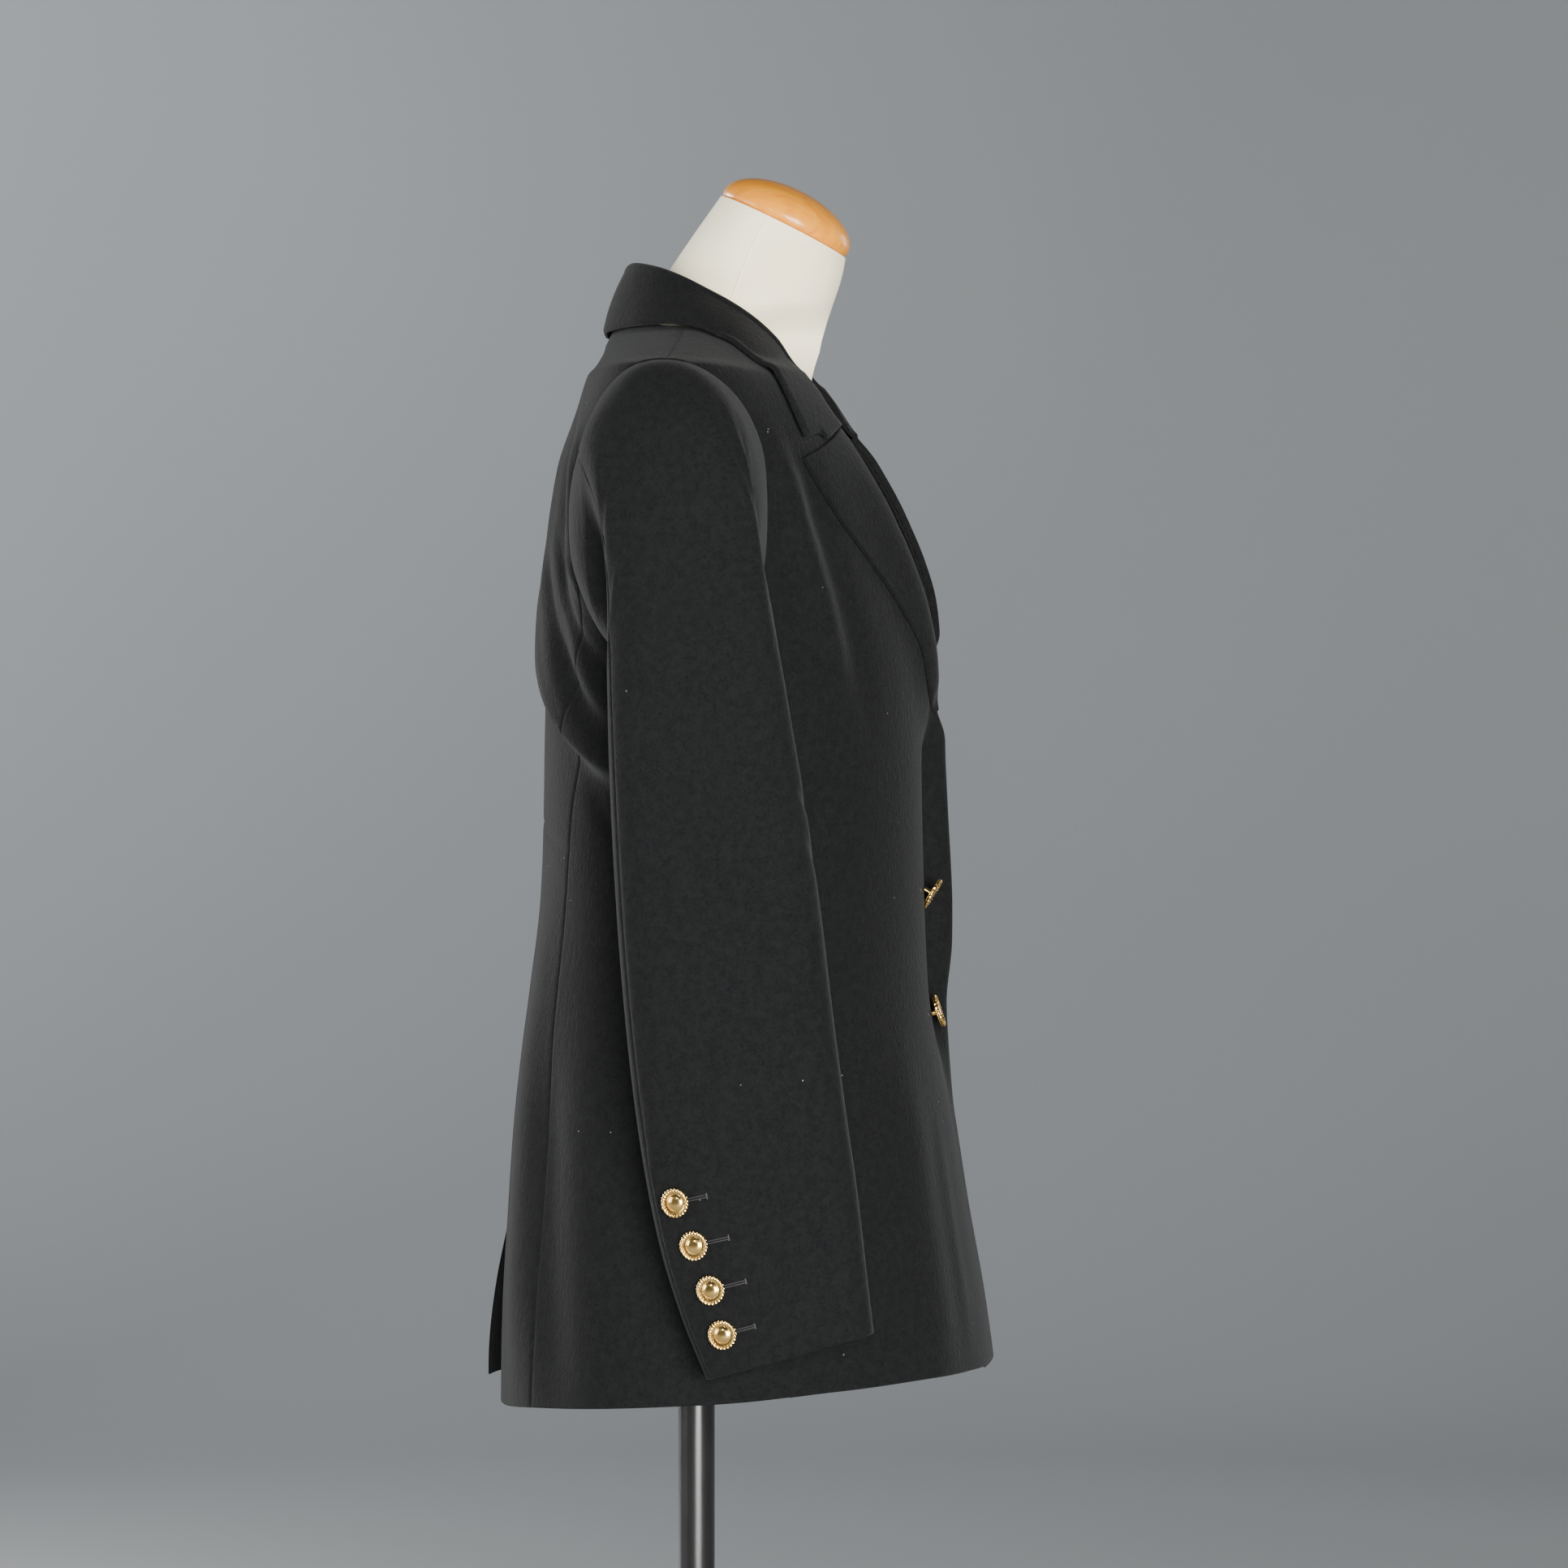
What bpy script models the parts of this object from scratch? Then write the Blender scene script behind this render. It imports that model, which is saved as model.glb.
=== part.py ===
"""Blazer on a limbless dress form.

Metres, +Z up. The pole's axis is X = 0, Y = 0 and the floor is Z = 0. The front of the
jacket faces -Y, so a distance forward of the pole is called fore, and y = -fore.
The wearer's right is -X. Tables give one half of the jacket, with x measured outwards.
"""
import math
from collections import namedtuple

import bpy
import bmesh
import numpy as np
from mathutils import Matrix, Vector

# Cloth
CLOTH = 0.0018
LAPEL_CLOTH = 0.0024
COLLAR_CLOTH = 0.0026
SEAM_HALF_GAP = 0.00022
SEAT_GAP = 0.0009

# Front
OVERLAP = 0.022
UNDERLAP_INSET = 0.0075
ROLL_LIFT = 0.0040
LAPEL_LIFT = 0.0036
LEFT_LAPEL_MORE = 0.0004

# Armhole, seen from the side
ARM_HEIGHT = 1.2435
ARM_FORE = 0.006
ARM_HALF_HEIGHT = 0.0915
ARM_BACK = 0.058
ARM_FRONT = 0.059
ARM_ROUND = 2.2
ARM_JOIN = 112
ARM_STEP = 14
HINDARM = 66
UNDER_COLUMNS = 10
SLEEVE_OVER_EDGE = 0.0026

# Buttons
CUFF_BUTTON_RADIUS = 0.009
FRONT_BUTTON_RADIUS = 0.011
BUTTON_SIDES = 12
SHANK_RADIUS = 0.0020

# Cuff button: share of the sleeve's length and angle round the sleeve, top one first
CUFF_BUTTONS = ((0.8565, 40.5), (0.892, 33), (0.929, 29.5), (0.9665, 31))
CUFF_SHANK = 0.0016
# Front button: x and height of its seat, lean of its face in degrees, length of its shank
FRONT_BUTTONS = ((0.010, 1.0125, -32, 0.0045), (0.008, 0.9330, 19, 0.0030))

# Dress form
CAP_RADIUS = 0.0448
CAP_RIM = 0.004
CAP_RISE = 0.0215
CAP_GAP = 0.0004
POLE_RADIUS = 0.0118
BASE_RADIUS = 0.170
BASE_THICK = 0.014
SOCKET_RADIUS = 0.021
SOCKET_TOP = 0.075
FORM_SIDES = 28
FACE_GAP = 0.0003

# Columns of the rings: height, widest half width, fore of the centre back, of the widest
# point and of the centre front, and how square the back and the front quarters are
BODY_RINGS = (
    (0.670, 0.231, -0.1205, 0.024, 0.1960, 2.3, 2.1),
    (0.700, 0.227, -0.1205, 0.024, 0.1930, 2.3, 2.1),
    (0.750, 0.221, -0.1200, 0.024, 0.1860, 2.3, 2.1),
    (0.810, 0.212, -0.1170, 0.023, 0.1750, 2.3, 2.1),
    (0.865, 0.202, -0.1135, 0.021, 0.1660, 2.3, 2.1),
    (0.910, 0.194, -0.1090, 0.019, 0.1580, 2.25, 2.1),
    (0.950, 0.186, -0.1040, 0.017, 0.1525, 2.2, 2.1),
    (1.010, 0.177, -0.0970, 0.013, 0.1500, 2.2, 2.1),
    (1.050, 0.173, -0.0955, 0.011, 0.1490, 2.2, 2.1),
    (1.090, 0.174, -0.0950, 0.010, 0.1480, 2.2, 2.05),
    (1.125, 0.178, -0.0950, 0.010, 0.1470, 2.2, 2.0),
    (1.160, 0.184, -0.0960, 0.010, 0.1450, 2.2, 1.9),
    (1.190, 0.190, -0.0955, 0.010, 0.1405, 2.2, 1.8),
    (1.220, 0.196, -0.0920, 0.010, 0.1335, 2.2, 1.7),
    (1.250, 0.201, -0.0870, 0.010, 0.1235, 2.2, 1.65),
    (1.280, 0.205, -0.0810, 0.009, 0.1110, 2.2, 1.65),
    (1.305, 0.2065, -0.0740, 0.008, 0.0970, 2.15, 1.7),
    (1.325, 0.2060, -0.0680, 0.007, 0.0835, 2.1, 1.75),
    (1.335, 0.2025, -0.0645, 0.006, 0.0750, 2.1, 1.8),
    (1.342, 0.1760, -0.0620, 0.006, 0.0680, 2.05, 1.8),
    (1.349, 0.1500, -0.0600, 0.005, 0.0610, 2.0, 1.9),
    (1.356, 0.1240, -0.0580, 0.004, 0.0550, 2.0, 2.0),
    (1.362, 0.1010, -0.0575, 0.003, 0.0505, 2.0, 2.0),
    (1.3665, 0.0850, -0.0560, 0.002, 0.0475, 2.0, 2.0),
    (1.371, 0.0775, -0.0545, 0.002, 0.0455, 2.0, 2.0),
    (1.385, 0.0680, -0.0500, 0.002, 0.0400, 2.0, 2.0),
)

# Angle round the ring from the centre back, and the hem's height there
HEM = (
    (0, 0.6860),
    (25, 0.6910),
    (50, 0.6985),
    (100, 0.7090),
    (120, 0.7130),
    (140, 0.7140),
    (160, 0.7120),
    (180, 0.7090),
    (200, 0.7090),
)

# Height, angle of the seam between back and side panel, and between side panel and front
SEAM_ANGLES = (
    (0.68, 51, 110),
    (0.87, 50, 111),
    (1.05, 49, 112),
    (1.21, 54, 115),
)

# Height and x of the front's inner edge: free edge, then roll line, then neckline
FRONT_EDGE = (
    (0.680, -0.0200),
    (0.900, -OVERLAP),
    (1.105, -OVERLAP),
    (1.125, -0.0120),
    (1.141, -0.0055),
    (1.167, 0.0045),
    (1.189, 0.0130),
    (1.2215, 0.0250),
    (1.252, 0.0335),
    (1.289, 0.0403),
    (1.314, 0.0455),
    (1.3345, 0.0545),
    (1.347, 0.0610),
    (1.360, 0.0705),
    (1.3695, 0.0795),
)

# Share of the way up the back's inner edge above the armhole join, x, height
BACK_NECK = (
    (0.00, 0.0000, 1.206),
    (0.42, 0.0000, 1.300),
    (0.64, 0.0000, 1.345),
    (0.80, 0.0000, 1.380),
    (0.87, 0.0300, 1.3795),
    (0.94, 0.0580, 1.3755),
    (1.00, 0.0795, 1.3695),
)

# Height, then how far the fronts' edge flares, dips at the buttons and rolls
FRONT_RELIEF = (
    (0.680, 0.0000, 0.0000, 0.0000),
    (0.865, 0.0010, 0.0000, 0.0000),
    (0.900, 0.0040, 0.0005, 0.0000),
    (0.937, 0.0080, 0.0060, 0.0000),
    (0.980, 0.0145, 0.0100, 0.0000),
    (1.010, 0.0155, 0.0120, 0.0000),
    (1.050, 0.0145, 0.0110, 0.0000),
    (1.090, 0.0125, 0.0060, 0.0010),
    (1.125, 0.0090, 0.0000, 0.0045),
    (1.160, 0.0045, 0.0000, 0.0080),
    (1.200, 0.0000, 0.0000, 0.0090),
    (1.250, 0.0000, 0.0000, 0.0070),
    (1.280, 0.0000, 0.0000, 0.0040),
    (1.310, 0.0000, 0.0000, 0.0015),
    (1.335, 0.0000, 0.0000, 0.0010),
    (1.360, 0.0000, 0.0000, 0.0005),
    (1.385, 0.0000, 0.0000, 0.0000),
)
FRONT_FADE = 0.050
FLARE_REACH = 0.022
DIP_PLACE = -0.002
DIP_REACH = 0.010
ROLL_REACH = 0.028
LEFT_ROLL_MORE = 0.003
LEFT_ROLL_LOW = 1.180
LEFT_ROLL_HIGH = 1.315
UNDERLAP_X = 0.045
UNDERLAP_FADE = 0.021
UNDERLAP_TOP = 1.205
UNDERLAP_FLATTEN = 0.6
HEIGHT_FADE = 0.030

# x across the back, height of the shelf fold there, and how far the cloth hangs over it
SHELF_FOLD = (
    (0.000, 1.184, 0.0010),
    (0.050, 1.176, 0.0025),
    (0.095, 1.150, 0.0060),
    (0.135, 1.120, 0.0095),
    (0.165, 1.092, 0.0095),
    (0.190, 1.078, 0.0045),
)
SHELF_ABOVE = 0.050
SHELF_EDGE = 0.013
SHELF_BELOW = 0.060

# Long soft folds: face, start and end as (x or fore, height), half width, depth outwards
Fold = namedtuple("Fold", "face start_across start_height end_across end_height reach depth")
FOLDS = (
    Fold("back", 0.118, 1.300, 0.150, 1.150, 0.012, -0.0050),
    Fold("back", 0.150, 1.290, 0.162, 1.200, 0.009, 0.0040),
    Fold("back", 0.085, 1.300, 0.100, 1.200, 0.010, 0.0025),
    Fold("back", 0.105, 1.220, 0.168, 1.105, 0.008, -0.0035),
    Fold("back", 0.130, 1.215, 0.172, 1.120, 0.007, 0.0030),
    Fold("back", 0.110, 0.980, 0.150, 0.720, 0.020, 0.0045),
    Fold("back", 0.150, 0.900, 0.195, 0.700, 0.016, -0.0050),
    Fold("front", 0.165, 1.290, 0.150, 1.170, 0.010, -0.0035),
    Fold("front", 0.142, 1.285, 0.128, 1.150, 0.010, 0.0035),
    Fold("front", 0.122, 1.270, 0.106, 1.130, 0.011, -0.0030),
    Fold("front", 0.100, 0.900, 0.120, 0.710, 0.025, 0.0040),
    Fold("side", 0.000, 1.060, 0.020, 0.860, 0.020, -0.0040),
    Fold("side", 0.055, 0.960, 0.070, 0.720, 0.022, 0.0045),
)
VENT_TOP = 0.860
VENT_FLARE = 0.018
RIGHT_VENT_SINK = 0.003
LEFT_VENT_RAISE = 0.009
VENT_RAISE_TURN = 18
VENT_FLARE_REACH = 0.050
VENT_OPEN = 0.005
VENT_OPEN_REACH = 0.030
VENT_FADE = 0.160
SIDE_FOLD_START = 0.120
SIDE_FOLD_FADE = 0.040
FACE_FADE = 0.030

# Shares of the way up from the hem to the armhole join where the body's rows lie
LOWER_ROWS = (0, 0.09, 0.19, 0.29, 0.39, 0.48, 0.56, 0.64, 0.70, 0.75, 0.80, 0.84, 0.88, 0.92, 0.96, 1)
BACK_COLUMNS = 9
SIDE_COLUMNS = 7
FRONT_COLUMNS = 12
FRONT_EDGE_COLUMNS = 4
FRONT_EDGE_START = 0.036

# Sleeve: share of its length; x and height of the outer line and of the inner line;
# fore of the back and of the front; rise towards the front; squareness
SLEEVE_RINGS = (
    (0.00, 0.2025, 1.3380, 0.1830, 1.1500, -0.0525, 0.0655, 0.00, 2.2),
    (0.05, 0.2160, 1.3370, 0.1865, 1.1470, -0.0500, 0.0680, 0.00, 2.2),
    (0.10, 0.2290, 1.3270, 0.1890, 1.1430, -0.0450, 0.0690, 0.00, 2.25),
    (0.17, 0.2410, 1.3020, 0.1910, 1.1360, -0.0370, 0.0700, 0.00, 2.35),
    (0.25, 0.2485, 1.2630, 0.1920, 1.1230, -0.0290, 0.0740, 0.00, 2.45),
    (0.33, 0.2520, 1.2180, 0.1925, 1.1040, -0.0250, 0.0790, 0.00, 2.5),
    (0.42, 0.2545, 1.1620, 0.1935, 1.0740, -0.0240, 0.0865, 0.00, 2.5),
    (0.52, 0.2560, 1.0920, 0.1950, 1.0340, -0.0215, 0.0960, 0.03, 2.5),
    (0.62, 0.2575, 1.0180, 0.1985, 0.9880, -0.0175, 0.1045, 0.08, 2.5),
    (0.72, 0.2595, 0.9440, 0.2040, 0.9290, -0.0110, 0.1125, 0.13, 2.5),
    (0.80, 0.2615, 0.8840, 0.2095, 0.8750, -0.0030, 0.1200, 0.18, 2.5),
    (0.88, 0.2640, 0.8245, 0.2155, 0.8185, 0.0090, 0.1285, 0.22, 2.5),
    (0.94, 0.2660, 0.7820, 0.2200, 0.7770, 0.0225, 0.1335, 0.26, 2.5),
    (1.00, 0.2680, 0.7415, 0.2240, 0.7390, 0.0390, 0.1385, 0.29, 2.5),
)
SLEEVE_ROWS = (
    0, 0.03, 0.07, 0.11, 0.16, 0.21, 0.27, 0.33, 0.40, 0.48, 0.56, 0.64, 0.72, 0.80, 0.87, 0.94, 1,
)
ARMHOLE_BLEND = 0.10
SEWN_SHARE = 0.05

# Sleeve creases: angle round the sleeve, share of its length, reach of each, depth outwards
Crease = namedtuple("Crease", "angle place angle_reach length_reach depth")
SLEEVE_CREASES = (
    Crease(92, 0.17, 20, 0.10, -0.0120),
    Crease(56, 0.18, 13, 0.12, 0.0040),
    Crease(-76, 0.20, 12, 0.12, -0.0040),
    Crease(-52, 0.22, 10, 0.12, 0.0025),
    Crease(100, 0.36, 14, 0.07, -0.0050),
    Crease(0, 0.55, 30, 0.10, -0.0035),
    Crease(180, 0.45, 30, 0.12, -0.0040),
)

# Collar: share of the way from the centre back to the gorge, then x, fore and height of
# the neck seam, of the fold line and of the outer edge
COLLAR_SECTIONS = (
    (0.00, 0.0000, -0.0490, 1.3840, 0.0000, -0.0425, 1.4165, 0.0000, -0.0590, 1.3695),
    (0.13, 0.0300, -0.0445, 1.3825, 0.0290, -0.0360, 1.4150, 0.0360, -0.0545, 1.3695),
    (0.27, 0.0560, -0.0290, 1.3795, 0.0530, -0.0190, 1.4100, 0.0680, -0.0340, 1.3705),
    (0.40, 0.0740, -0.0080, 1.3760, 0.0660, -0.0020, 1.4030, 0.0890, -0.0080, 1.3700),
    (0.52, 0.0790, 0.0120, 1.3735, 0.0710, 0.0155, 1.3940, 0.1020, 0.0160, 1.3660),
    (0.64, 0.0775, 0.0280, 1.3690, 0.0715, 0.0310, 1.3855, 0.1070, 0.0310, 1.3575),
    (0.74, 0.0740, 0.0420, 1.3620, 0.0690, 0.0450, 1.3760, 0.1130, 0.0465, 1.3468),
    (0.83, 0.0680, 0.0560, 1.3520, 0.0630, 0.0590, 1.3630, 0.1170, 0.0600, 1.3335),
    (0.90, 0.0620, 0.0660, 1.3410, 0.0570, 0.0690, 1.3480, 0.1190, 0.0695, 1.3200),
    (0.95, 0.0580, 0.0770, 1.3275, 0.0520, 0.0830, 1.3325, 0.1195, 0.0770, 1.3070),
    (1.00, 0.0540, 0.0885, 1.3120, 0.0440, 0.0955, 1.3095, 0.1180, 0.0834, 1.2952),
)
COLLAR_STEPS = 16
COLLAR_FOLD_RADIUS = 0.0038
COLLAR_FALL_POINTS = 4
COLLAR_FALL_BOW = 0.0022
COLLAR_CLEAR = 0.0032
# Where the stand runs out, the fall lies over the stand, and the stand on the front
COLLAR_FLAT_START = 0.75
COLLAR_FLAT_FADE = 0.12
COLLAR_FALL_MORE = 0.0020
STAND_CLEAR = 0.0022
NECK_TOP = 1.386
NECK_FADE = 0.010

# The collar's front end hangs down between its corners to meet the lapel along the gorge
GORGE_DROP = 0.0036
GORGE_START = 0.90
GORGE_FADE = 0.10

# Lapel: share of its length up from the break, x and height on the roll line and outside
LAPEL_ROWS = (
    (0.00, -0.0110, 1.1280, -0.0080, 1.1250),
    (0.12, -0.0020, 1.1500, 0.0095, 1.1385),
    (0.28, 0.0115, 1.1850, 0.0265, 1.1665),
    (0.45, 0.0262, 1.2250, 0.0500, 1.1925),
    (0.62, 0.0350, 1.2600, 0.0760, 1.2190),
    (0.78, 0.0400, 1.2870, 0.1000, 1.2455),
    (0.90, 0.0425, 1.3000, 0.1135, 1.2665),
    (1.00, 0.0435, 1.3042, 0.1215, 1.2815),
)
LAPEL_STEPS = 12
LAPEL_COLUMNS = 5
LAPEL_BOW = 0.0012

# Form: height, half width, fore of back, side and front, squareness of back and front
FORM_RINGS = (
    (0.7600, 0.140, -0.078, 0.010, 0.100, 2.2, 2.1),
    (0.7640, 0.150, -0.086, 0.010, 0.110, 2.2, 2.1),
    (0.7740, 0.157, -0.091, 0.010, 0.116, 2.2, 2.1),
    (0.8500, 0.166, -0.094, 0.010, 0.122, 2.2, 2.1),
    (0.9200, 0.156, -0.088, 0.010, 0.110, 2.2, 2.1),
    (0.9900, 0.136, -0.080, 0.010, 0.096, 2.2, 2.1),
    (1.0500, 0.126, -0.075, 0.010, 0.091, 2.2, 2.1),
    (1.1000, 0.134, -0.076, 0.010, 0.102, 2.2, 2.2),
    (1.1500, 0.146, -0.078, 0.010, 0.120, 2.2, 2.3),
    (1.1900, 0.152, -0.078, 0.010, 0.118, 2.2, 2.1),
    (1.2300, 0.158, -0.076, 0.009, 0.106, 2.2, 2.0),
    (1.2700, 0.164, -0.071, 0.008, 0.092, 2.1, 2.0),
    (1.3000, 0.168, -0.066, 0.007, 0.080, 2.1, 1.9),
    (1.3220, 0.168, -0.060, 0.006, 0.072, 2.0, 1.8),
    (1.3350, 0.158, -0.054, 0.006, 0.074, 2.0, 1.35),
    (1.3460, 0.148, -0.051, 0.005, 0.076, 2.0, 1.0),
    (1.3530, 0.117, -0.049, 0.004, 0.078, 2.0, 0.95),
    (1.3590, 0.086, -0.047, 0.004, 0.080, 2.0, 1.0),
)
# Neck of the form: fore and height of its back and of its front line, half width
NECK_RINGS = (
    (-0.0460, 1.3690, 0.0815, 1.3665, 0.0610),
    (-0.0400, 1.3810, 0.0855, 1.3800, 0.0575),
    (-0.0300, 1.3950, 0.0885, 1.3900, 0.0550),
    (-0.0170, 1.4130, 0.0930, 1.4030, 0.0505),
    (-0.0010, 1.4360, 0.0955, 1.4130, 0.0485),
    (0.0163, 1.4600, 0.0967, 1.4197, 0.0470),
)


def smooth(value):
    """0 below 0, 1 above 1, and a soft step between."""
    value = min(max(value, 0.0), 1.0)
    return value * value * (3 - 2 * value)


def bell(distance, reach):
    return math.exp(-((distance / reach) ** 2))


def point(x, fore, height):
    return Vector((x, -fore, height))


class Profile:
    """Columns that change smoothly and without overshoot along a table's first column."""

    def __init__(self, rows):
        table = np.array(rows, dtype=float)
        self.keys = table[:, 0]
        self.values = table[:, 1:]
        rises = np.diff(self.values, axis=0) / np.diff(self.keys)[:, None]
        self.slopes = np.zeros_like(self.values)
        self.slopes[0] = rises[0]
        self.slopes[-1] = rises[-1]
        for i in range(1, len(rises)):
            before, after = rises[i - 1], rises[i]
            total = np.where(before + after == 0, 1, before + after)
            self.slopes[i] = np.where(before * after > 0, 2 * before * after / total, 0)

    def __call__(self, key):
        key = min(max(key, self.keys[0]), self.keys[-1])
        i = int(min(np.searchsorted(self.keys, key, side="right") - 1, len(self.keys) - 2))
        span = self.keys[i + 1] - self.keys[i]
        t = (key - self.keys[i]) / span
        start = (1 + 2 * t) * (1 - t) ** 2 * self.values[i]
        end = t * t * (3 - 2 * t) * self.values[i + 1]
        lead = t * (1 - t) ** 2 * span * self.slopes[i]
        trail = t * t * (t - 1) * span * self.slopes[i + 1]
        return start + end + lead + trail


body_ring = Profile(BODY_RINGS)
hem_height = Profile(HEM)
seam_angles = Profile(SEAM_ANGLES)
front_edge = Profile(FRONT_EDGE)
back_neck = Profile(BACK_NECK)
front_relief = Profile(FRONT_RELIEF)
shelf_fold = Profile(SHELF_FOLD)
sleeve_ring = Profile(SLEEVE_RINGS)
collar_section = Profile(COLLAR_SECTIONS)
lapel_row = Profile(LAPEL_ROWS)
form_ring = Profile(FORM_RINGS)


def on_ring(angle, height):
    """x and fore on the body's ring, at an angle from the centre back in degrees."""
    half_width, back, side, front, back_square, front_square = body_ring(height)
    across = math.sin(math.radians(angle))
    along = math.cos(math.radians(angle))
    square = back_square if along > 0 else front_square
    reach = side - back if along > 0 else front - side
    x = half_width * math.copysign(abs(across) ** (2 / square), across)
    return x, side - reach * math.copysign(abs(along) ** (2 / square), along)


def fore_at(x, height, rear):
    """Fore of the body's back or front at x."""
    half_width, back, side, front, back_square, front_square = body_ring(height)
    square = back_square if rear else front_square
    share = (1 - min(abs(x) / half_width, 1.0) ** square) ** (1 / square)
    return side - (side - back) * share if rear else side + (front - side) * share


def x_at(fore, height):
    """x of the body's ring at that fore."""
    half_width, back, side, front, back_square, front_square = body_ring(height)
    square = back_square if fore < side else front_square
    reach = side - back if fore < side else front - side
    return half_width * (1 - min(abs(fore - side) / reach, 1.0) ** square) ** (1 / square)


def angle_at(fore, height):
    """Angle from the centre back of the ring's point at that fore."""
    half_width, back, side, front, back_square, front_square = body_ring(height)
    square = back_square if fore < side else front_square
    reach = side - back if fore < side else front - side
    along = min(abs(fore - side) / reach, 1.0) ** (square / 2)
    return math.degrees(math.acos(math.copysign(along, side - fore)))


def ring_level(x, fore, height):
    half_width, back, side, front, back_square, front_square = body_ring(height)
    square = back_square if fore < side else front_square
    reach = side - back if fore < side else front - side
    return (abs(x) / half_width) ** square + (abs(fore - side) / reach) ** square


def body_normal(x, fore, height):
    step = 0.0005
    gradient = Vector((
        ring_level(x + step, fore, height) - ring_level(x - step, fore, height),
        ring_level(x, fore - step, height) - ring_level(x, fore + step, height),
        ring_level(x, fore, height + step) - ring_level(x, fore, height - step),
    ))
    return gradient.normalized()


def fold_relief(x, fore, height, side):
    total = 0.0
    for fold in FOLDS:
        if fold.face == "side":
            across = fore
            weight = smooth((abs(x) - SIDE_FOLD_START) / SIDE_FOLD_FADE)
        else:
            across = abs(x)
            behind = side - fore if fold.face == "back" else fore - side
            weight = smooth(behind / FACE_FADE)
        if weight == 0:
            continue
        run = fold.end_height - fold.start_height
        place = (height - fold.start_height) / run
        line = fold.start_across + (fold.end_across - fold.start_across) * place
        ends = smooth((place + 0.25) / 0.5) * smooth((1.25 - place) / 0.5)
        total += weight * ends * fold.depth * bell(across - line, fold.reach)
    return total


def shelf_relief(x, fore, height, side):
    """The back hangs over a slanting fold between the shoulder blade and the underarm."""
    crease, depth = shelf_fold(abs(x))
    weight = smooth((side + 0.005 - fore) / 0.04)
    above = height - crease
    if above >= 0:
        return weight * depth * bell(above, SHELF_ABOVE)
    edge = bell(above, SHELF_EDGE)
    return weight * depth * (edge - 0.8 * (1 - edge) * bell(above, SHELF_BELOW))


def front_lift(x, height, left):
    """Roll, edge flare and button dip of a front; the left front lies under the right."""
    flare, dip, roll = front_relief(height)
    edge = front_edge(height)[0]
    if left:
        under = smooth((UNDERLAP_X - x) / UNDERLAP_FADE) * smooth((UNDERLAP_TOP - height) / HEIGHT_FADE)
        high = smooth((height - LEFT_ROLL_LOW) / HEIGHT_FADE)
        high *= smooth((LEFT_ROLL_HIGH - height) / HEIGHT_FADE)
        rolled = (roll + LEFT_ROLL_MORE * high) * bell(x - edge, ROLL_REACH) * (1 - UNDERLAP_FLATTEN * under)
        return rolled - under * (UNDERLAP_INSET + dip)
    lift = roll * bell(x - edge, ROLL_REACH)
    lift -= dip * bell(x - DIP_PLACE, DIP_REACH)
    return lift + flare * smooth(-x / FLARE_REACH)


def vent_lift(x, height, left):
    """Below the top of the centre back vent the left half flares and the right one sinks."""
    flare = VENT_FLARE if left else -RIGHT_VENT_SINK
    return flare * smooth((VENT_TOP - height) / VENT_FADE) * bell(x, VENT_FLARE_REACH)


def body_point(x, fore, height, left, lift=0.0):
    """A point of the jacket's outside and its direction outwards, with the folds on it."""
    side = body_ring(height)[2]
    normal = body_normal(x, fore, height)
    relief = fold_relief(x, fore, height, side) + shelf_relief(x, fore, height, side)
    if fore > side:
        relief += smooth((fore - side) / FRONT_FADE) * front_lift(x, height, left)
    else:
        relief += vent_lift(x, height, left)
    return point(x, fore, height) + normal * (relief + lift), normal


def armhole(angle, grow=0.0):
    """x, fore and height of the armhole at an angle from its top, towards the back."""
    across = math.sin(math.radians(angle))
    up = math.cos(math.radians(angle))
    reach = (ARM_BACK if across > 0 else ARM_FRONT) + grow
    fore = ARM_FORE - reach * math.copysign(abs(across) ** (2 / ARM_ROUND), across)
    height = ARM_HEIGHT + (ARM_HALF_HEIGHT + grow) * math.copysign(abs(up) ** (2 / ARM_ROUND), up)
    return x_at(fore, height), fore, height


JOIN_X, JOIN_FORE, JOIN_HEIGHT = armhole(ARM_JOIN)
FRONT_JOIN_X, FRONT_JOIN_FORE, FRONT_JOIN_HEIGHT = armhole(-ARM_JOIN)


def seam_angle(height, front):
    """Angle of a side seam, which ends at the armhole's join."""
    table = seam_angles(height)[1 if front else 0]
    end = angle_at(FRONT_JOIN_FORE, FRONT_JOIN_HEIGHT) if front else angle_at(JOIN_FORE, JOIN_HEIGHT)
    return table + (end - table) * smooth((height - 1.06) / (JOIN_HEIGHT - 1.06))


def tidy_edges(grid):
    """Draws each border of a grid of (point, normal) in by half a seam's gap."""
    def pull(edge, inner):
        moved = []
        for (place, normal), (neighbour, _) in zip(edge, inner):
            moved.append((place + (neighbour - place).normalized() * SEAM_HALF_GAP, normal))
        return moved

    grid = [list(row) for row in grid]
    grid[0] = pull(grid[0], grid[1])
    grid[-1] = pull(grid[-1], grid[-2])
    columns = [list(column) for column in zip(*grid)]
    columns[0] = pull(columns[0], columns[1])
    columns[-1] = pull(columns[-1], columns[-2])
    return [list(row) for row in zip(*columns)]


def new_object(name, bm, material, smooth_angle=40):
    mesh = bpy.data.meshes.new(name)
    bm.to_mesh(mesh)
    bm.free()
    mesh.materials.append(material)
    mesh.shade_smooth()
    mesh.set_sharp_from_angle(angle=math.radians(smooth_angle))
    obj = bpy.data.objects.new(name, mesh)
    parts.objects.link(obj)
    return obj


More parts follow.
